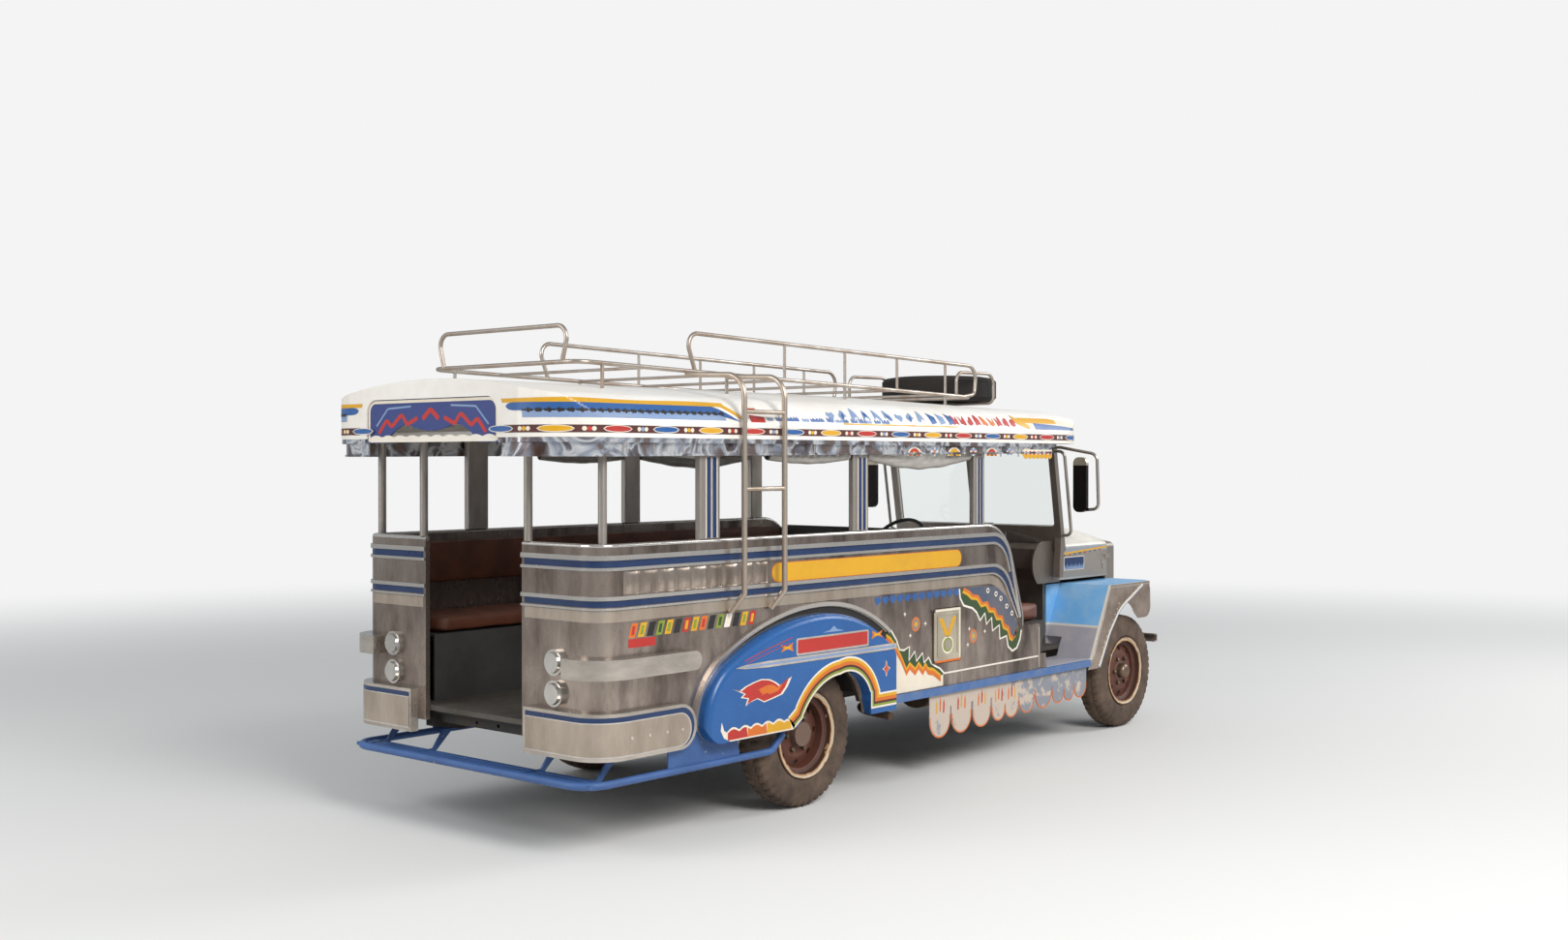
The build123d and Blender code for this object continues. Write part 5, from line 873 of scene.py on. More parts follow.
def arc_points(start, through, stop, steps=16):
    """Points on the circle through three points."""
    a, b, c = (np.array(p, float) for p in (start, through, stop))
    d = 2 * (a[0] * (b[1] - c[1]) + b[0] * (c[1] - a[1]) + c[0] * (a[1] - b[1]))
    ux = ((a @ a) * (b[1] - c[1]) + (b @ b) * (c[1] - a[1]) + (c @ c) * (a[1] - b[1])) / d
    uy = ((a @ a) * (c[0] - b[0]) + (b @ b) * (a[0] - c[0]) + (c @ c) * (b[0] - a[0])) / d
    centre = np.array([ux, uy])
    radius = np.linalg.norm(a - centre)
    angles = [math.atan2(*(p - centre)[::-1]) for p in (a, b, c)]
    sweep = (angles[2] - angles[0]) % (2 * np.pi)
    if (angles[1] - angles[0]) % (2 * np.pi) > sweep:
        sweep -= 2 * np.pi
    turn = angles[0] + sweep * np.linspace(0, 1, steps)
    return centre + radius * np.stack([np.cos(turn), np.sin(turn)], 1)


def tangent_arc(start, stop, tangent):
    """Points on the circle through two points that leaves the first along a direction."""
    start, stop = np.array(start, float), np.array(stop, float)
    normal = np.array([-tangent[1], tangent[0]]) / np.linalg.norm(tangent)
    radius = (stop - start) @ (stop - start) / (2 * (stop - start) @ normal)
    centre = start + normal * radius
    first, last = (math.atan2(*(p - centre)[::-1]) for p in (start, stop))
    sweep = (last - first + np.pi) % (2 * np.pi) - np.pi
    turn = first + sweep * np.linspace(0, 1, 14)
    return centre + abs(radius) * np.stack([np.cos(turn), np.sin(turn)], 1)


# Black band on the wall between the plated bead and the blister, with a thin white line inside it.
bead_crest = arc_points((-1.725, 0.840), (-1.400, 0.978), (-0.975, 1.035), 24)
bead_tail = tangent_arc(bead_crest[0], (-1.930, 0.505), bead_crest[0] - bead_crest[1])
bead_nose = tangent_arc(bead_crest[-1], (-0.425, 0.850), bead_crest[-1] - bead_crest[-2])
bead_line = np.vstack([bead_tail[::-1], bead_crest[1:], bead_nose[1:]])
bead_run = np.gradient(bead_line, axis=0)
bead_inward = np.stack([bead_run[:, 1], -bead_run[:, 0]], 1) / np.linalg.norm(bead_run, axis=1)[:, None]
band_shapes = [
    (np.vstack([bead_line, (bead_line + 0.050 * bead_inward)[::-1]]), BLACK, 0),
    (ribbon(bead_line + 0.0125 * bead_inward, 0.004), WHITE, 1),
]
plates("fender_black_band", band_shapes, wall_y)
arch_edge = np.vstack(
    [
        [(-1.300, 0.4425)],
        arc_points((-1.235, 0.486), (-1.110, 0.620), (-0.930, 0.676)),
        arc_points((-0.930, 0.676), (-0.770, 0.658), (-0.676, 0.540))[1:-1],
    ]
)


def arch_front(offset):
    """A band's run from the front of the opening down and forward to the fender's edge."""
    foot_z = 0.470 + offset
    return np.array([(-0.676 + offset, 0.560), (-0.676 + offset, foot_z), (-0.456, foot_z)])


def arch_band(inner, outer):
    """A band round the wheel opening, from one offset to another, carried forward along the bottom front."""
    run = np.gradient(arch_edge, axis=0)
    run /= np.linalg.norm(run, axis=1)[:, None]
    normal = np.stack([-run[:, 1], run[:, 0]], 1)
    near = np.vstack([arch_edge + normal * inner, arch_front(inner)])
    far = np.vstack([arch_edge + normal * outer, arch_front(outer)])
    for edge in (near, far):
        edge[:, 1] = np.maximum(edge[:, 1], fender_bottom_z)
    return np.vstack([near, far[::-1]])


# inner offset, outer offset, paint
arch_bands = [(0.000, 0.010, CREAM), (0.010, 0.022, LIME), (0.022, 0.034, MAROON)]
arch_bands += [(0.034, 0.052, ORANGE), (0.052, 0.068, YELLOW), (0.068, 0.077, WHITE)]
fender_shapes = [(arch_band(inner, outer), paint, 0) for inner, outer, paint in arch_bands]
scallop_x = np.linspace(-1.780, -1.290, 60)
scallop_rise = 0.016 * np.abs(np.sin((scallop_x + 1.29) * np.pi / 0.082))
scallop_z = 0.492 + scallop_rise - 0.03 * np.clip((scallop_x + 1.36) / 0.07, 0, 1)
curl = [(-1.300, 0.4425), (-1.760, 0.4425), (-1.805, 0.462), (-1.828, 0.500), (-1.822, 0.540)]
curl += [(-1.805, 0.498), (-1.785, 0.488)]
lick = np.vstack([curl, np.stack([scallop_x, scallop_z], 1)])
fender_shapes.append((lick, CREAM, 0))
for x0, x1, paint in ((-1.780, -1.640, RED), (-1.640, -1.500, ORANGE), (-1.500, -1.320, YELLOW)):
    inside = (scallop_x >= x0 - 1e-6) & (scallop_x <= x1 + 1e-6)
    top = np.stack([scallop_x[inside], scallop_z[inside] - 0.010], 1)
    fender_shapes.append((np.vstack([[(x1, 0.4495), (x0, 0.4495)], top]), paint, 1))
spear = [(-1.728, 0.783), (-1.660, 0.793), (-1.500, 0.798), (-0.500, 0.798), (-0.456, 0.795)]
spear = np.array(spear + [(-0.456, 0.768), (-0.500, 0.766), (-1.500, 0.767), (-1.660, 0.774)])
spear_stripe = [(-1.690, 0.783), (-1.620, 0.787), (-0.475, 0.788), (-0.475, 0.776), (-1.620, 0.778)]
crest_leaf = [(-1.075, 0.900), (-1.020, 0.908), (-0.985, 0.928), (-0.960, 0.910), (-0.900, 0.898)]
fender_shapes += [
    (spear, BRIGHT, 5),
    (spear_stripe, PALE_BLUE, 6),
    (box_outline(-1.282, -0.698, 0.802, 0.888, 0.012), BRIGHT, 2),
    (box_outline(-1.270, -0.710, 0.812, 0.879, 0.006), RED, 3),
    (ribbon([(-1.660, 0.812), (-1.480, 0.858), (-1.310, 0.895)], 0.004), RED, 0),
    (ribbon([(-1.640, 0.800), (-1.480, 0.838), (-1.330, 0.870)], 0.003), RED, 0),
    (crest_leaf, PALE_BLUE, 0),
]
bow = [(-0.048, 0.020), (-0.010, 0.008), (0.010, 0.008), (0.045, 0.024), (0.038, 0.0)]
bow = np.array(bow + [(0.048, -0.022), (0.010, -0.008), (-0.010, -0.008), (-0.048, -0.020), (-0.030, 0.0)])
for bow_x, bow_z, flip in ((-1.350, 0.848, 1), (-0.625, 0.855, -1)):
    for layer, (share, paint) in enumerate(((1.0, ORANGE), (0.6, YELLOW))):
        fender_shapes.append((bow * (flip * share, share) + (bow_x, bow_z), paint, layer))
star = [(0, 0.038), (0.010, 0.010), (0.030, 0), (0.010, -0.010), (0, -0.038)]
star = np.array(star + [(-0.010, -0.010), (-0.030, 0), (-0.010, 0.010)])
for layer, (share, paint) in enumerate(((1.15, CREAM), (0.9, RED), (0.4, ORANGE))):
    fender_shapes.append((star * share + (-0.545, 0.668), paint, layer))
lick_back = [(-1.750, 0.690), (-1.700, 0.672), (-1.660, 0.690), (-1.600, 0.705), (-1.540, 0.715)]
lick_back += [(-1.480, 0.708), (-1.435, 0.690), (-1.395, 0.665), (-1.350, 0.690), (-1.315, 0.705)]
lick_back += [(-1.345, 0.660), (-1.385, 0.625), (-1.450, 0.612), (-1.520, 0.600), (-1.570, 0.622)]
lick_back = np.array(
    lick_back + [(-1.620, 0.612), (-1.655, 0.598), (-1.640, 0.630), (-1.690, 0.640), (-1.665, 0.655)]
)
lick_mid = lick_back.mean(0)
fender_shapes += [
    (lick_back, CREAM, 0),
    (lick_mid + (lick_back - lick_mid) * 0.90, RED, 1),
    (lick_mid + (0.05, 0) + (lick_back - lick_mid) * (0.45, 0.40), ORANGE, 2),
]
plates("fender_paintwork", fender_shapes, fender_face)


# Quarter guards: polished stainless boxes with rounded ends, folded and screwed round the rear quarters.
# Each has a navy edge, a bright one and a pale field, held by round-headed rivets.
guard_face = 0.925
guard_rear_x = -2.404


def nose_box(x1, z0, z1, radius):
    """A band's outline along a guard, square at the rear and rounded at its nose."""
    turn = np.linspace(-np.pi / 2, np.pi / 2, 18)
    height = (z1 - z0) / 2
    nose = np.stack([x1 - radius + radius * np.cos(turn), (z0 + z1) / 2 + height * np.sin(turn)], 1)
    return np.vstack([[(guard_rear_x, z0)], nose, [(guard_rear_x, z1)]])


guard_shapes = [
    (nose_box(-1.972, 0.456, 0.634, 0.080), NAVY, 0),
    (nose_box(-1.990, 0.456, 0.612, 0.074), BRIGHT, 1),
    (nose_box(-1.998, 0.462, 0.606, 0.068), PALE, 2),
]
for rivet_x in (-2.370, -2.260, -2.150, -2.050):
    guard_shapes.append((oval(rivet_x, 0.534, 0.008, 0.008, 10), BRIGHT, 4))
plates("guard_panels", guard_shapes, guard_face)
guard_run = np.linspace(-2.990, -2.403, 40)
guard_bands = [
    (guard_run, 0.456, 0.634, NAVY, -1),
    (guard_run, 0.456, 0.612, BRIGHT, 0),
    (guard_run, 0.462, 0.606, PALE, 1),
]
guard_turns = ((wall_rear_x, 0.760, 0.165, -1, 2.570),)


def guard_plane(z):
    """Half width over the guard's face, the same at every height."""
    return guard_face + 0 * z


wrapped_paint("guard_tail_panels", guard_bands, guard_plane, guard_turns, 3)
dress(
    "quarter_guards",
    metal_sheet("guard_stainless", "#c6bdb3", "#8d8379", rough=0.2, smear_and_reflection_share=0.6, stretch=(1.0, 1.0, 3.0))
)

# Bumpers: a bent tube with aprons and steps under the tail, and a steel beam ahead of the grille.
# Both are bolted to the frame; their paint is chipped to bare and rusty steel.
dress(
    "rear_bumper",
    enamel("tail_tube_blue", "#3c5f96", "#2b3f62", chips="#b0a393", soil=0.6, chipped=0.4, rough=0.4)
)
dress(
    "front_bumper",
    enamel(
        "front_bumper_steel", "#8c8076", "#5c4536", chips="#7a4a2e", soil=0.7, chipped=0.3, rough=0.45,
        metal=0.6
    )
)

# Side skirts: sheet cut in lobes, painted off-white with rust-orange edges.
# They hang from the blue sill rail, and the rear ones have painted reeds.
skirt_face = 0.874


def skirt_finish():
    """Off-white paint worn to blue-grey patches, with the rail above it in blue by height."""
    material, tree, shader, place = start_finish("skirt_and_rail_paint")
    parts = add(tree, "ShaderNodeSeparateXYZ", {0: place})
    worn = add(tree, "ShaderNodeTexNoise", {"Vector": place, "Scale": 11.0, "Detail": 6.0, "Roughness": 0.7})
    forward = add(tree, "ShaderNodeMapRange", {0: parts.outputs["X"], 1: 0.6, 2: 1.1, 3: -0.12, 4: 0.08})
    patch = add(tree, "ShaderNodeMath", {0: worn, 1: forward}, operation="ADD")
    cut = add(tree, "ShaderNodeMapRange", {0: patch, 1: 0.50, 2: 0.55, 3: 0.0, 4: 0.85})
    white = add(tree, "ShaderNodeMix", {0: cut, 6: linear("#bdad9e"), 7: linear("#767d8a")}, data_type="RGBA")
    split = add(tree, "ShaderNodeMath", {0: parts.outputs["Z"], 1: 0.4555}, operation="GREATER_THAN")
    rail_tone = add(tree, "ShaderNodeMapRange", {0: worn, 1: 0.4, 2: 0.65, 3: 0.0, 4: 0.5})
    rail = add(
        tree, "ShaderNodeMix", {0: rail_tone, 6: linear("#3f6399"), 7: linear("#6e7f93")},
        data_type="RGBA"
    )
    tone = add(tree, "ShaderNodeMix", {0: split, 6: white.outputs[2], 7: rail.outputs[2]}, data_type="RGBA")
    relief = add(tree, "ShaderNodeBump", {"Strength": 0.15, "Distance": 0.002, "Height": worn})
    feed(tree, shader, {"Base Color": tone.outputs[2], "Roughness": 0.5, "Normal": relief})
    return material


dress("side_skirts", skirt_finish())
# rear end, front end, lowest point
lobe_table = [(-0.035, 0.165, 0.212), (0.175, 0.375, 0.215), (0.390, 0.575, 0.222), (0.590, 0.730, 0.236)]
lobe_table += [(0.725, 0.875, 0.238), (0.880, 1.055, 0.246), (1.060, 1.255, 0.252), (1.260, 1.400, 0.262)]
lobe_table += [(1.395, 1.520, 0.264), (1.515, 1.670, 0.268)]
blade = np.array([(-0.006, 0.0), (0.006, 0.0), (0.010, 0.050), (0.002, 0.078), (-0.004, 0.050)])
skirt_shapes = []
for x0, x1, low in lobe_table:
    radius = (x1 - x0) / 2
    turn = np.linspace(np.pi * 0.93, np.pi * 2.07, 22)
    mid, edge = (x0 + x1) / 2, radius - 0.004
    rim = np.stack([mid + edge * np.cos(turn), low + radius + edge * np.sin(turn)], 1)
    skirt_shapes.append((ribbon(rim, 0.008), ORANGE, 0))
    if x1 < 0.9:
        for reed in range(3):
            reed_x = mid + 0.034 * (reed - 1)
            reed_paint = (YELLOW, ORANGE, RED)[(reed + round(x0 * 10)) % 3]
            skirt_shapes.append((blade + (reed_x, 0.350 + 0.012 * (reed % 2)), reed_paint, 0))
plates("skirt_paintwork", skirt_shapes, skirt_face)

# Roof: one crowned shell of welded sheet, brushed warm white and stained tan, with coloured bands along its
# sides. A painted bead of framed ovals runs round its lip.
dress(
    "roof_shell",
    enamel(
        "roof_white_enamel", "#ebe7e0", "#b9a68c", chips="#8a6a4a", soil=0.45, chipped=0.10, rough=0.26,
        grain=5.0
    )
)
roof_arc = arc_points((0.920, 1.940), (0.860, 2.024), (0.720, 2.075), steps=200)
# corner centre X, corner centre Y, radius, direction along X, end face
roof_turns = ((-2.447, 0.592, 0.330, -1, 2.775), (1.322, 0.522, 0.400, 1, 1.720))


def roof_side(z):
    """Half width of the roof at a height."""
    return np.where(z < 1.940, 0.920, np.interp(z, roof_arc[:, 1], roof_arc[:, 0]))


def brush_mark(start, stop, steps):
    """Distances along a mark and the share of it that each one stands at."""
    mark = np.linspace(start, stop, steps)
    return mark, (mark - mark[0]) / (mark[-1] - mark[0])


band_run = np.linspace(-3.000, -1.800, 90)
round_end = 0.017 * np.sqrt(1 - np.clip((band_run + 2.94) / 0.06, -1, 0) ** 2) + 0.0001
slope_run = np.linspace(-1.820, -1.640, 14)
slope = np.clip((slope_run + 1.800) / 0.150, 0, 1)
hook_run = np.linspace(-1.745, -1.590, 16)
hook = np.clip((hook_run + 1.745) / 0.130, 0, 1)
line_run = np.linspace(-3.020, -1.700, 90)
pale_run = np.linspace(-2.900, -1.740, 160)
ragged = 0.004 * np.sin(pale_run * 130) + 0.003 * np.sin(pale_run * 310 + 1.0)
roof_patches = [
    (line_run, 2.021, 2.041 + 0.002 * np.sin(line_run * 9), YELLOW, 0),
    (band_run, 2.003 - round_end, 2.004 + round_end, BLUE, 1),
    (slope_run, 1.952 + 0.032 * (1 - slope), np.maximum(2.021 - 0.069 * slope**1.4, 1.953), BLUE, 1),
    (hook_run, 1.953 + 0.075 * (1 - hook), 2.041 - 0.082 * np.maximum(hook - 0.2, 0), YELLOW, 0),
    (pale_run, 1.955, 1.984, PALE_BLUE, 0),
    (pale_run, 1.981 + ragged, 1.993 - ragged, BLACK, 2),
    (np.linspace(-1.565, -1.460, 8), 1.951, 1.988 - 0.010 * np.linspace(0, 1, 8), RED, 0),
    (np.linspace(-1.560, -1.480, 8), 1.996, 2.026, CREAM, 0),
    (np.linspace(-1.550, -1.490, 8), 2.002, 2.020, RED, 1),
]
# Small brush marks in a row, with tall faded ones above them.
for k in range(15):
    mark, share = brush_mark(-1.440 + 0.066 * k, -1.397 + 0.066 * k + 0.012 * (k % 3), 9)
    rise = 0.006 + (0.010 + 0.003 * (k % 4)) * np.abs(np.sin(2.4 * np.pi * share + k))
    roof_patches.append((mark, 1.961, 1.962 + rise, BLUE if k % 4 else PALE_BLUE, 0))
for k in range(9):
    mark, share = brush_mark(-0.960 + 0.098 * k, -0.895 + 0.098 * k, 11)
    low = 1.984 + 0.010 * np.cos(2 * np.pi * share + k)
    high = low + 0.006 + (0.030 + 0.006 * (k % 3)) * np.sin(np.pi * share) ** 0.7
    roof_patches.append((mark, low, high, PALE_BLUE, 0))
    if k % 2:
        roof_patches.append((mark[3:8], low[3:8] + 0.004, low[3:8] + 0.026, BLUE, 1))
low_line = np.linspace(-0.850, 0.180, 40)
roof_patches.append((low_line, 1.951, 1.956 + 0.003 * np.abs(np.sin(low_line * 17)), YELLOW, 0))
for k in range(3):
    mark, share = brush_mark(-0.060 + 0.085 * k, -0.005 + 0.085 * k, 9)
    paint = PALE_BLUE if k == 1 else BLUE
    roof_patches.append((mark, 1.964 + 0.010 * share, 2.030 - 0.022 * share, paint, 0))
for k in range(9):
    mark, share = brush_mark(0.155 + 0.074 * k, 0.208 + 0.074 * k, 10)
    low = 1.962 + 0.010 * np.abs(np.sin(3 * share + k))
    high = low + 0.008 + (0.048 - 0.006 * (k % 3)) * np.abs(np.cos(2.6 * share + 0.6 * k)) ** 0.5
    roof_patches.append((mark, low, high, ORANGE if k in (4, 5) else RED, 0))
field_run = np.linspace(0.860, 1.560, 30)
field_fall = np.clip((field_run - 1.20) / 0.36, 0, 1)
slash_run = np.linspace(0.800, 0.940, 12)
slash = (slash_run - slash_run[0]) / 0.140
wedge_run = np.linspace(1.000, 1.480, 20)
wedge = (wedge_run - 1.000) / 0.480
roof_patches += [
    (slash_run, 1.953 + 0.040 * (1 - slash) ** 1.5, 2.036 - 0.060 * slash, YELLOW, 1),
    (field_run, 1.957, 2.024 - 0.040 * field_fall, CREAM, 0),
    (field_run[:18], 1.990, 2.020 - 0.030 * field_fall[:18], YELLOW, 1),
    (wedge_run, 1.953, 1.956 + 0.034 * (1 - wedge) ** 0.5, BLUE, 2),
]
wrapped_paint("roof_paintwork", roof_patches, roof_side, roof_turns, 6)

# The lip's bead: dark ground, framed ovals in turn blue, yellow and red, a small ornament between them.
bead_patches = [(np.linspace(-3.020, 1.640, 240), 1.889, 1.923, MAROON, 0)]
for k, paint in zip(range(-3, 13), (BLUE, YELLOW, RED) * 6):
    middle = -2.150 + 0.297 * k
    bow = np.linspace(-1, 1, 13)
    dome = np.sqrt(1 - bow**2)
    bead_patches += [
        (middle + 0.085 * bow, 1.906 - 0.0160 * dome, 1.906 + 0.0160 * dome, WHITE, 1),
        (middle + 0.079 * bow, 1.906 - 0.0125 * dome, 1.906 + 0.0125 * dome, paint, 2),
    ]
    for shift, trim in ((-0.022, CREAM), (0.0, (YELLOW, RED, PALE_BLUE)[k % 3]), (0.022, CREAM)):
        dot = middle + 0.1485 + shift + 0.012 * bow[::2]
        bead_patches.append((dot, 1.906 - 0.010 * dome[::2], 1.906 + 0.010 * dome[::2], trim, 1))
wrapped_paint("roof_bead_ovals", bead_patches, roof_side, roof_turns, 3)


# Valances: plated panels about 190 mm long between pressed ribs, screwed on below the roof's gutter.
# Fans and rosettes are painted on those towards the front.
valance_face = 0.900


def embossed_steel():
    """Plated sheet pressed in panels: a painted reflection of white and blue sky broken by brown bands and
    ribs.
    """
    material, tree, shader, place = start_finish("embossed_valance")
    cells = add(tree, "ShaderNodeTexVoronoi", {"Vector": place, "Scale": 12.0, "Randomness": 0.8})
    warp = add(tree, "ShaderNodeTexNoise", {"Vector": place, "Scale": 7.0, "Detail": 3.0, "Distortion": 0.8})
    # The colour is a painted reflection: dark brown, sky blue and white patches along a warped noise.
    painted_sky_reflection = add(tree, "ShaderNodeValToRGB", {0: warp})
    reflected_dark_to_sky = [(0.0, "#4a3a33"), (0.40, "#8a7a74"), (0.47, "#b0b6c2"), (0.54, "#eceae8")]
    fill_ramp(painted_sky_reflection.color_ramp, reflected_dark_to_sky + [(0.60, "#85838a"), (0.70, "#5a4238")])
    relief = add(
        tree, "ShaderNodeBump", {"Strength": 0.35, "Distance": 0.004, "Height": cells.outputs["Distance"]}
    )
    feed(tree, shader, {"Base Color": painted_sky_reflection, "Metallic": 0.75, "Roughness": 0.24, "Normal": relief})
    return material


dress("roof_valances", embossed_steel())
valance_shapes = []
for k in range(19):
    rib_x = -2.400 + 0.190 * k
    valance_shapes.append((box_outline(rib_x - 0.005, rib_x + 0.005, 1.789, 1.845), BRIGHT, 2))
for k in range(11, 19):
    fan_x = -2.305 + 0.190 * k
    turn = np.linspace(0, np.pi, 9)
    if k % 2:
        fan_rings = ((0.050, CREAM), (0.040, (RED, YELLOW)[k % 4 == 1]), (0.024, YELLOW), (0.010, NAVY))
        for layer, (radius, paint) in enumerate(fan_rings):
            fan = np.stack([fan_x + radius * np.cos(turn) * 1.3, 1.793 + radius * np.sin(turn)], 1)
            valance_shapes.append((fan, paint, layer))
    else:
        for petal in range(8):
            spin = petal * np.pi / 4
            bloom = oval(fan_x + 0.022 * math.cos(spin), 1.817 + 0.016 * math.sin(spin), 0.012, 0.009, 10)
            valance_shapes.append((bloom, PALE_BLUE if petal % 2 else WHITE, petal % 2))
        valance_shapes.append((oval(fan_x, 1.817, 0.009, 0.009, 12), ORANGE, 3))
plates("valance_paintwork", valance_shapes, valance_face)

# Tin fringe at the valance's front end: a white strip with red and orange ovals over a scalloped yellow edge.
# It's snipped from thin sheet, painted and tacked over the valance.
fringe_shapes = [(box_outline(0.890, 1.205, 1.803, 1.832, 0.002), WHITE, 3)]
for k in range(7):
    tongue_x = 0.912 + 0.0455 * k
    fringe_shapes.append((oval(tongue_x, 1.812, 0.013, 0.012, 12), (RED, ORANGE)[k % 2], 4))
scallop_run = np.linspace(0.890, 1.205, 57)
scallop_low = 1.786 - 0.010 * np.abs(np.sin((scallop_run - 0.890) * np.pi / 0.045))
scallops = np.vstack([[(1.205, 1.803), (0.890, 1.803)], np.stack([scallop_run, scallop_low], 1)])
fringe_shapes.append((scallops, YELLOW, 3))
plates("valance_fringe", fringe_shapes, valance_face + 0.0005)

# Rear visor: a flat deep blue panel sunk in the tail of the roof and screwed there.
# It's bordered in cream with white scallops, and has loose red and pale strokes by brush.
visor_face = 2.765
dress("rear_visor", enamel("visor_blue_enamel", "#323f78", "#1f2752", soil=0.4, chipped=0.05, rough=0.3))
visor_shapes = []
zigzag = np.array(
    [(-0.40, 1.895), (-0.34, 1.960), (-0.30, 1.925), (-0.22, 1.985), (-0.18, 1.935), (-0.10, 1.965)]
)
sweep = np.array([(-0.42, 1.930), (-0.33, 2.012), (-0.15, 2.020)])
mirrored = (-1, 1)
stroke_table = (
    (zigzag, 0.020, RED),
    (zigzag * mirrored, 0.020, RED),
    ([(-0.06, 1.960), (0.00, 2.005), (0.06, 1.960)], 0.024, RED),
    (sweep, 0.009, PALE_BLUE),
    (sweep * mirrored, 0.009, PALE_BLUE),
)
for stroke, width, paint in stroke_table:
    visor_shapes.append((ribbon(rounded(stroke, [0.02] * (len(stroke) - 2), 5), width), paint, 0))
wave_y = np.linspace(-0.470, 0.470, 95)
wave = np.stack([wave_y, 1.876 + 0.010 * np.abs(np.sin(wave_y * np.pi / 0.094))], 1)
visor_shapes.append((np.vstack([[(0.470, 1.853), (-0.470, 1.853)], wave]), WHITE, 0))
border = rounded([(-0.478, 1.856), (-0.478, 2.044), (0.478, 2.044), (0.478, 1.856)], [0.05, 0.05])
visor_shapes.append((ribbon(border, 0.014), CREAM, 1))
plates("visor_paintwork", visor_shapes, visor_face, sides=(1,), plane="x")

# Side curtains: clear-tan film rolled up under the valances, sagging between its ties. Each is cut to reach
# from the header to the sill with a lap of about 80 mm, and that whole length is in its fall and its turns.
curtain_cut = 0.560
curtain_drop = 0.070
curtain_y = 0.874
header_z = 1.8685
coil_radius = 0.026
coil_pitch = 0.0040
coil_turns = 4.8


def rolled_curtain(name, x0, x1, side, sag):
    """A film of one cut length that hangs from the header and is wound into a loose coil at its foot.

    Film distance goes first into the straight fall, which the sag lengthens towards the middle, and what is
    left goes round a spiral that tightens with each turn, so no part of the film is stretched."""
    turn = np.linspace(0, 2 * np.pi * coil_turns, 600)
    radius = coil_radius - coil_pitch * turn / (2 * np.pi)
    spiral = np.stack([radius * np.cos(turn) - coil_radius, -1.2 * radius * np.sin(turn)], 1)
    steps = np.linalg.norm(np.diff(spiral, axis=0), axis=1)
    distance = np.concatenate([[0.0], np.cumsum(steps)])
    u = np.linspace(0, 1, 100)[:, None]
    film = np.linspace(0, curtain_cut, 150)[None, :]
    fall = curtain_drop + sag * np.sin(np.pi * u) * (1 + 0.05 * np.sin(9 * np.pi * u))
    wound = np.maximum(film - fall, 0)
    hung = np.minimum(film, fall)
    assert wound.max() < distance[-1], "the coil has too few turns for the cut"
    loose = hung / curtain_drop
    pucker = 0.002 * np.sin(70 * u + 8 * loose) * np.minimum(loose, 1)
    y = np.interp(wound, distance, spiral[:, 0]) + pucker
    z = np.interp(wound, distance, spiral[:, 1]) - hung
    grid = np.dstack([x0 + (x1 - x0) * u + 0 * film, side * (curtain_y + y), header_z + z])
    return smooth(surface(name, grid), 80)


def curtain_film():
    """Tan vinyl film, half clear, with long soft creases, painted darker in their troughs and lighter on
    their ridges.
    """
    material, tree, shader, place = start_finish("tan_curtain_film")
    pulled = add(tree, "ShaderNodeMapping", {"Vector": place, "Scale": (6.0, 10.0, 30.0)})
    crease = add(tree, "ShaderNodeTexNoise", {"Vector": pulled, "Scale": 1.6, "Detail": 5.0})
    # Painted shade and light: the noise that raises the creases also darkens their troughs and lightens their
    # ridges.
    tone = add(
        tree, "ShaderNodeMix", {0: crease, 6: linear("#97908a"), 7: linear("#ddd7cc")}, data_type="RGBA"
    )
    relief = add(tree, "ShaderNodeBump", {"Strength": 0.5, "Distance": 0.004, "Height": crease})
    feed(
        tree, shader,
        {"Base Color": tone.outputs[2], "Roughness": 0.3, "Transmission Weight": 0.35, "Normal": relief}
    )
    return material


film = curtain_film()
for side, side_name in ((-1, "right"), (1, "left")):
    for index, (x0, x1, sag) in enumerate(((-1.375, -0.740, 0.02), (-0.585, 0.380, 0.05))):
        piece = rolled_curtain(f"curtain_{side_name}_{index}", x0, x1, side, sag)
        wear(piece, film, "body")
        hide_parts("curtain_rolls")

# Roof rack and ladder: steel tube, once bright, now dull and freckled with rust.
# The tubes are bent cold and welded where they meet.
dress(
    "roof_rack",
    metal_sheet("rack_tube_steel", "#b9b0a6", "#85664e", rough=0.32, smear_and_reflection_share=0.55, relief_scale=90.0)
)
dress("ladder", metal_sheet("ladder_tube_steel", "#c0b4a6", "#94755a", rough=0.32, smear_and_reflection_share=0.55))

# Windscreen: a plated two-light frame raked back over the cowl, with plain glass.
# The frame is bolted down on the cowl, and road dust hazes the glass.
dress("windshield_frame", metal_sheet("screen_frame_steel", "#9d948b", "#6b6158", rough=0.36))
glass, glass_tree, glass_shader, glass_place = start_finish("screen_glass")
glass_film = add(glass_tree, "ShaderNodeTexNoise", {"Vector": glass_place, "Scale": 5.0, "Detail": 4.0})
glass_haze = add(glass_tree, "ShaderNodeMapRange", {0: glass_film, 1: 0.4, 2: 0.8, 3: 0.01, 4: 0.06})
clear_glass = {
    "Base Color": linear("#f4f9f8"), "Transmission Weight": 1.0, "IOR": 1.45, "Roughness": glass_haze
}
feed(glass_tree, glass_shader, clear_glass)
dress("windshield_glass", glass)

# Hood: pressed sheet with a white crown, a grey shoulder and a yellow line over stainless sides.
# It's hinged at the cowl, latched at both sides, and has a navy panel with pale spikes.
hood_face = 0.570


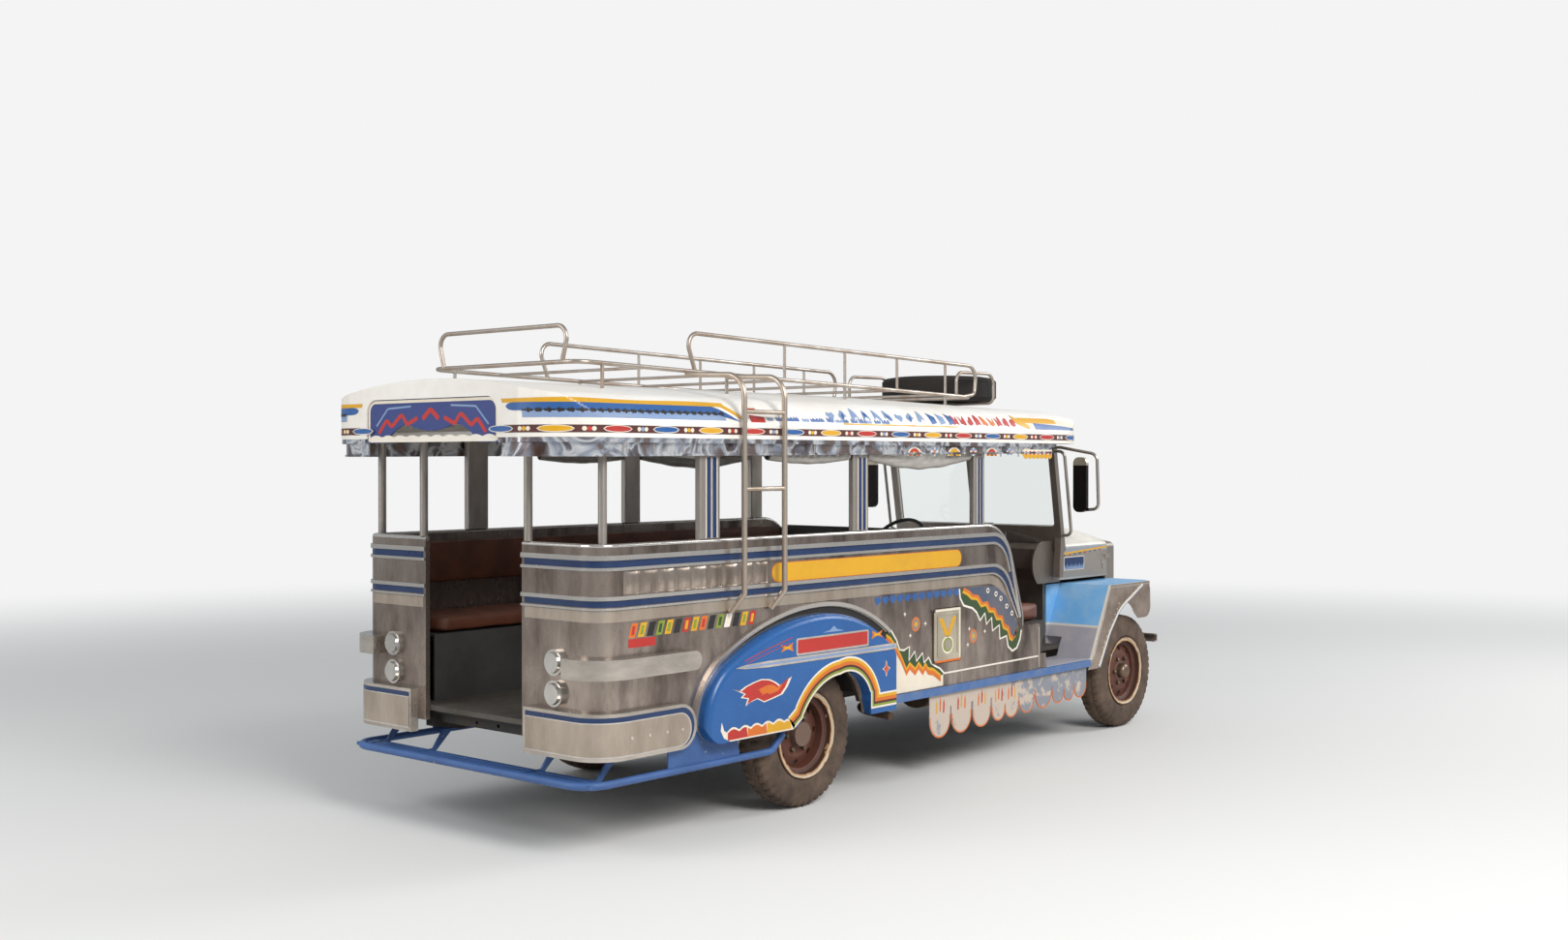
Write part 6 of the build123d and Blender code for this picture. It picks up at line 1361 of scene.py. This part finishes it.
def hood_finish():
    """Bands by height on the hood's side under a white top, worn towards grey."""
    material, tree, shader, place = start_finish("hood_banded_enamel")
    parts = add(tree, "ShaderNodeSeparateXYZ", {0: place})
    level = add(tree, "ShaderNodeMapRange", {0: parts.outputs["Z"], 1: 0.96, 2: 1.32, 3: 0.0, 4: 1.0})
    bands = add(tree, "ShaderNodeValToRGB", {0: level})
    bands.color_ramp.interpolation = "CONSTANT"
    fill_ramp(bands.color_ramp, [(0.0, "#b3a89e"), (0.545, "#8b8f95"), (0.66, "#ece6da")])
    stain = add(tree, "ShaderNodeTexNoise", {"Vector": place, "Scale": 4.0, "Detail": 7.0, "Roughness": 0.65})
    spread = add(tree, "ShaderNodeMapRange", {0: stain, 1: 0.45, 2: 0.75, 3: 0.0, 4: 0.6})
    tone = add(tree, "ShaderNodeMix", {0: spread, 6: bands, 7: linear("#9a9488")}, data_type="RGBA")
    bare = add(tree, "ShaderNodeMath", {0: parts.outputs["Z"], 1: 1.158}, operation="LESS_THAN")
    sheen = add(tree, "ShaderNodeMath", {0: bare, 1: 0.8}, operation="MULTIPLY")
    feed(tree, shader, {"Base Color": tone.outputs[2], "Metallic": sheen, "Roughness": 0.36})
    return material


dress("hood", hood_finish())
hood_shapes = [
    (ribbon([(1.812, 1.146), (2.464, 1.178)], 0.011), YELLOW, 0),
    (box_outline(1.905, 2.165, 1.040, 1.128, 0.004), WHITE, 0),
    (box_outline(1.910, 2.160, 1.044, 1.124, 0.003), NAVY, 1),
    (box_outline(1.815, 1.875, 1.004, 1.040, 0.003), CREAM, 0),
    (box_outline(1.808, 2.466, 0.983, 0.993), BRIGHT, 1),
]
for k in range(9):
    mark_x = 1.845 + 0.066 * k
    mark_z = 1.133 + 0.049 * (mark_x - 1.812)
    hood_shapes.append((oval(mark_x, mark_z, 0.016, 0.0045, 10), (BLUE, GREEN, RED)[k % 3], 0))
for k in range(10):
    spike = np.array([(0.0, 0.0), (0.026, 0.0), (0.013, 0.030 + 0.008 * (k % 2))])
    hood_shapes.append((spike + (1.908 + 0.0255 * k, 1.046), PALE_BLUE, 2))
plates("hood_paintwork", hood_shapes, hood_face, body="hood")
latch_shapes = [
    (box_outline(2.395, 2.440, 1.060, 1.115, 0.008), BRIGHT, 6),
    (box_outline(2.407, 2.428, 1.030, 1.075, 0.006), BRIGHT, 10),
]
plates("hood_latch", latch_shapes, hood_face, body="hood")

# Cowl, grille and lamps: folded stainless sheet round the nose and spun, plated lamp shells, all screwed on.
# The steering wheel is a black moulded rim.
dress("cowl", metal_sheet("cowl_stainless", "#8f857c", "#64594f", rough=0.38, smear_and_reflection_share=0.7))
dress("steering_wheel", enamel("steering_rim_black", "#1b1a19", "#39342f", soil=0.4, rough=0.4))
dress("grille", metal_sheet("grille_stainless", "#b0a79e", "#7a7068", rough=0.3, smear_and_reflection_share=0.6))
dress("lamps", metal_sheet("lamp_plating", "#c9c5bf", "#8b857d", rough=0.2, smear_and_reflection_share=0.4))


# Front fenders: folded sheet, sky blue on top and behind, with brown-stained stainless valances at the sides.
# They're bolted beside the hood, and a plated bead with a white line is screwed along their side edge.
def fender_finish():
    """Sky blue enamel inboard of the side valance, stained stainless on it, told apart by Y."""
    material, tree, shader, place = start_finish("front_fender_enamel")
    parts = add(tree, "ShaderNodeSeparateXYZ", {0: place})
    off = add(tree, "ShaderNodeMath", {0: parts.outputs["Y"]}, operation="ABSOLUTE")
    outer = add(tree, "ShaderNodeMath", {0: off, 1: 0.8795}, operation="GREATER_THAN")
    rim = add(tree, "ShaderNodeMath", {0: off, 1: 0.862}, operation="GREATER_THAN")
    low = add(tree, "ShaderNodeMath", {0: parts.outputs["Z"], 1: 0.688}, operation="LESS_THAN")
    seam = add(tree, "ShaderNodeMath", {0: parts.outputs["Z"], 1: 0.694, 2: 0.007}, operation="COMPARE")
    trim = add(tree, "ShaderNodeMath", {0: rim, 1: seam}, operation="MAXIMUM")
    stain = add(tree, "ShaderNodeTexNoise", {"Vector": place, "Scale": 5.0, "Detail": 7.0, "Roughness": 0.65})
    spread = add(tree, "ShaderNodeMapRange", {0: stain, 1: 0.42, 2: 0.7, 3: 0.0, 4: 0.7})
    sky = add(
        tree, "ShaderNodeMix", {0: spread, 6: linear("#74b2e4"), 7: linear("#a6c6de")}, data_type="RGBA"
    )
    lilac = add(
        tree, "ShaderNodeMix", {0: spread, 6: linear("#a39fa8"), 7: linear("#c0b6ae")}, data_type="RGBA"
    )
    ground = add(tree, "ShaderNodeMix", {0: low, 6: sky.outputs[2], 7: lilac.outputs[2]}, data_type="RGBA")
    inner = add(
        tree, "ShaderNodeMix", {0: trim, 6: ground.outputs[2], 7: linear("#d9d2c6")}, data_type="RGBA"
    )
    steel = add(
        tree, "ShaderNodeMix", {0: spread, 6: linear("#a8978a"), 7: linear("#5f4a3e")}, data_type="RGBA"
    )
    tone = add(tree, "ShaderNodeMix", {0: outer, 6: inner.outputs[2], 7: steel.outputs[2]}, data_type="RGBA")
    sheen = add(tree, "ShaderNodeMath", {0: outer, 1: 0.8}, operation="MULTIPLY")
    feed(tree, shader, {"Base Color": tone.outputs[2], "Metallic": sheen, "Roughness": 0.36})
    return material


dress("front_fenders", fender_finish())
bead_corners = [
    (1.826, 0.440), (1.958, 0.652), (2.080, 0.784), (2.160, 0.828), (2.235, 0.861), (2.394, 0.935)
]
bead_path = rounded(bead_corners, [0.3, 0.2, 0.2, 0.2], 6)
fender_edge_shapes = [
    (ribbon(bead_path, 0.024), BRIGHT, 2),
    (ribbon(bead_path, 0.014), WHITE, 7),
    (ribbon(bead_path + (0.002, -0.003), 0.005), PALE_BLUE, 8),
    (ribbon([(1.745, 0.494), (1.975, 0.940), (2.490, 0.940)], 0.010), BRIGHT, 1),
]
for k in range(9):
    share = k / 8
    rivet = oval(1.865 + 0.215 * share, 0.560 + 0.270 * share, 0.006, 0.006, 8)
    fender_edge_shapes.append((rivet, BRIGHT, 3))
plates("front_fender_trim", fender_edge_shapes, wall_y)


# Mirrors: dark shells with a cream cap on plain steel loops.
# The loops are bent from tube and bolted on beside the windscreen.
def mirror_finish():
    """Light tube steel on the loops, dark plastic on the shell with a cream cap, told apart by place."""
    material = metal_sheet("mirror_steel", "#b7afa6", "#7d746b", rough=0.3, smear_and_reflection_share=0.6)
    tree, shader, steel, place = open_finish(material)
    parts = add(tree, "ShaderNodeSeparateXYZ", {0: place})
    off = add(tree, "ShaderNodeMath", {0: parts.outputs["Y"]}, operation="ABSOLUTE")
    shell = add(tree, "ShaderNodeMath", {0: off, 1: 0.838, 2: 0.056}, operation="COMPARE")
    back = add(tree, "ShaderNodeMath", {0: parts.outputs["X"], 1: 1.661, 2: 0.017}, operation="COMPARE")
    plate = add(tree, "ShaderNodeMath", {0: shell, 1: back}, operation="MULTIPLY")
    cap = add(tree, "ShaderNodeMath", {0: parts.outputs["Z"], 1: 1.735}, operation="GREATER_THAN")
    tone = add(tree, "ShaderNodeMix", {0: cap, 6: linear("#2a2422"), 7: linear("#cfc3ae")}, data_type="RGBA")
    both = add(tree, "ShaderNodeMix", {0: plate, 6: steel, 7: tone.outputs[2]}, data_type="RGBA")
    feed(tree, shader, {"Base Color": both.outputs[2]})
    return material


dress("mirrors", mirror_finish())
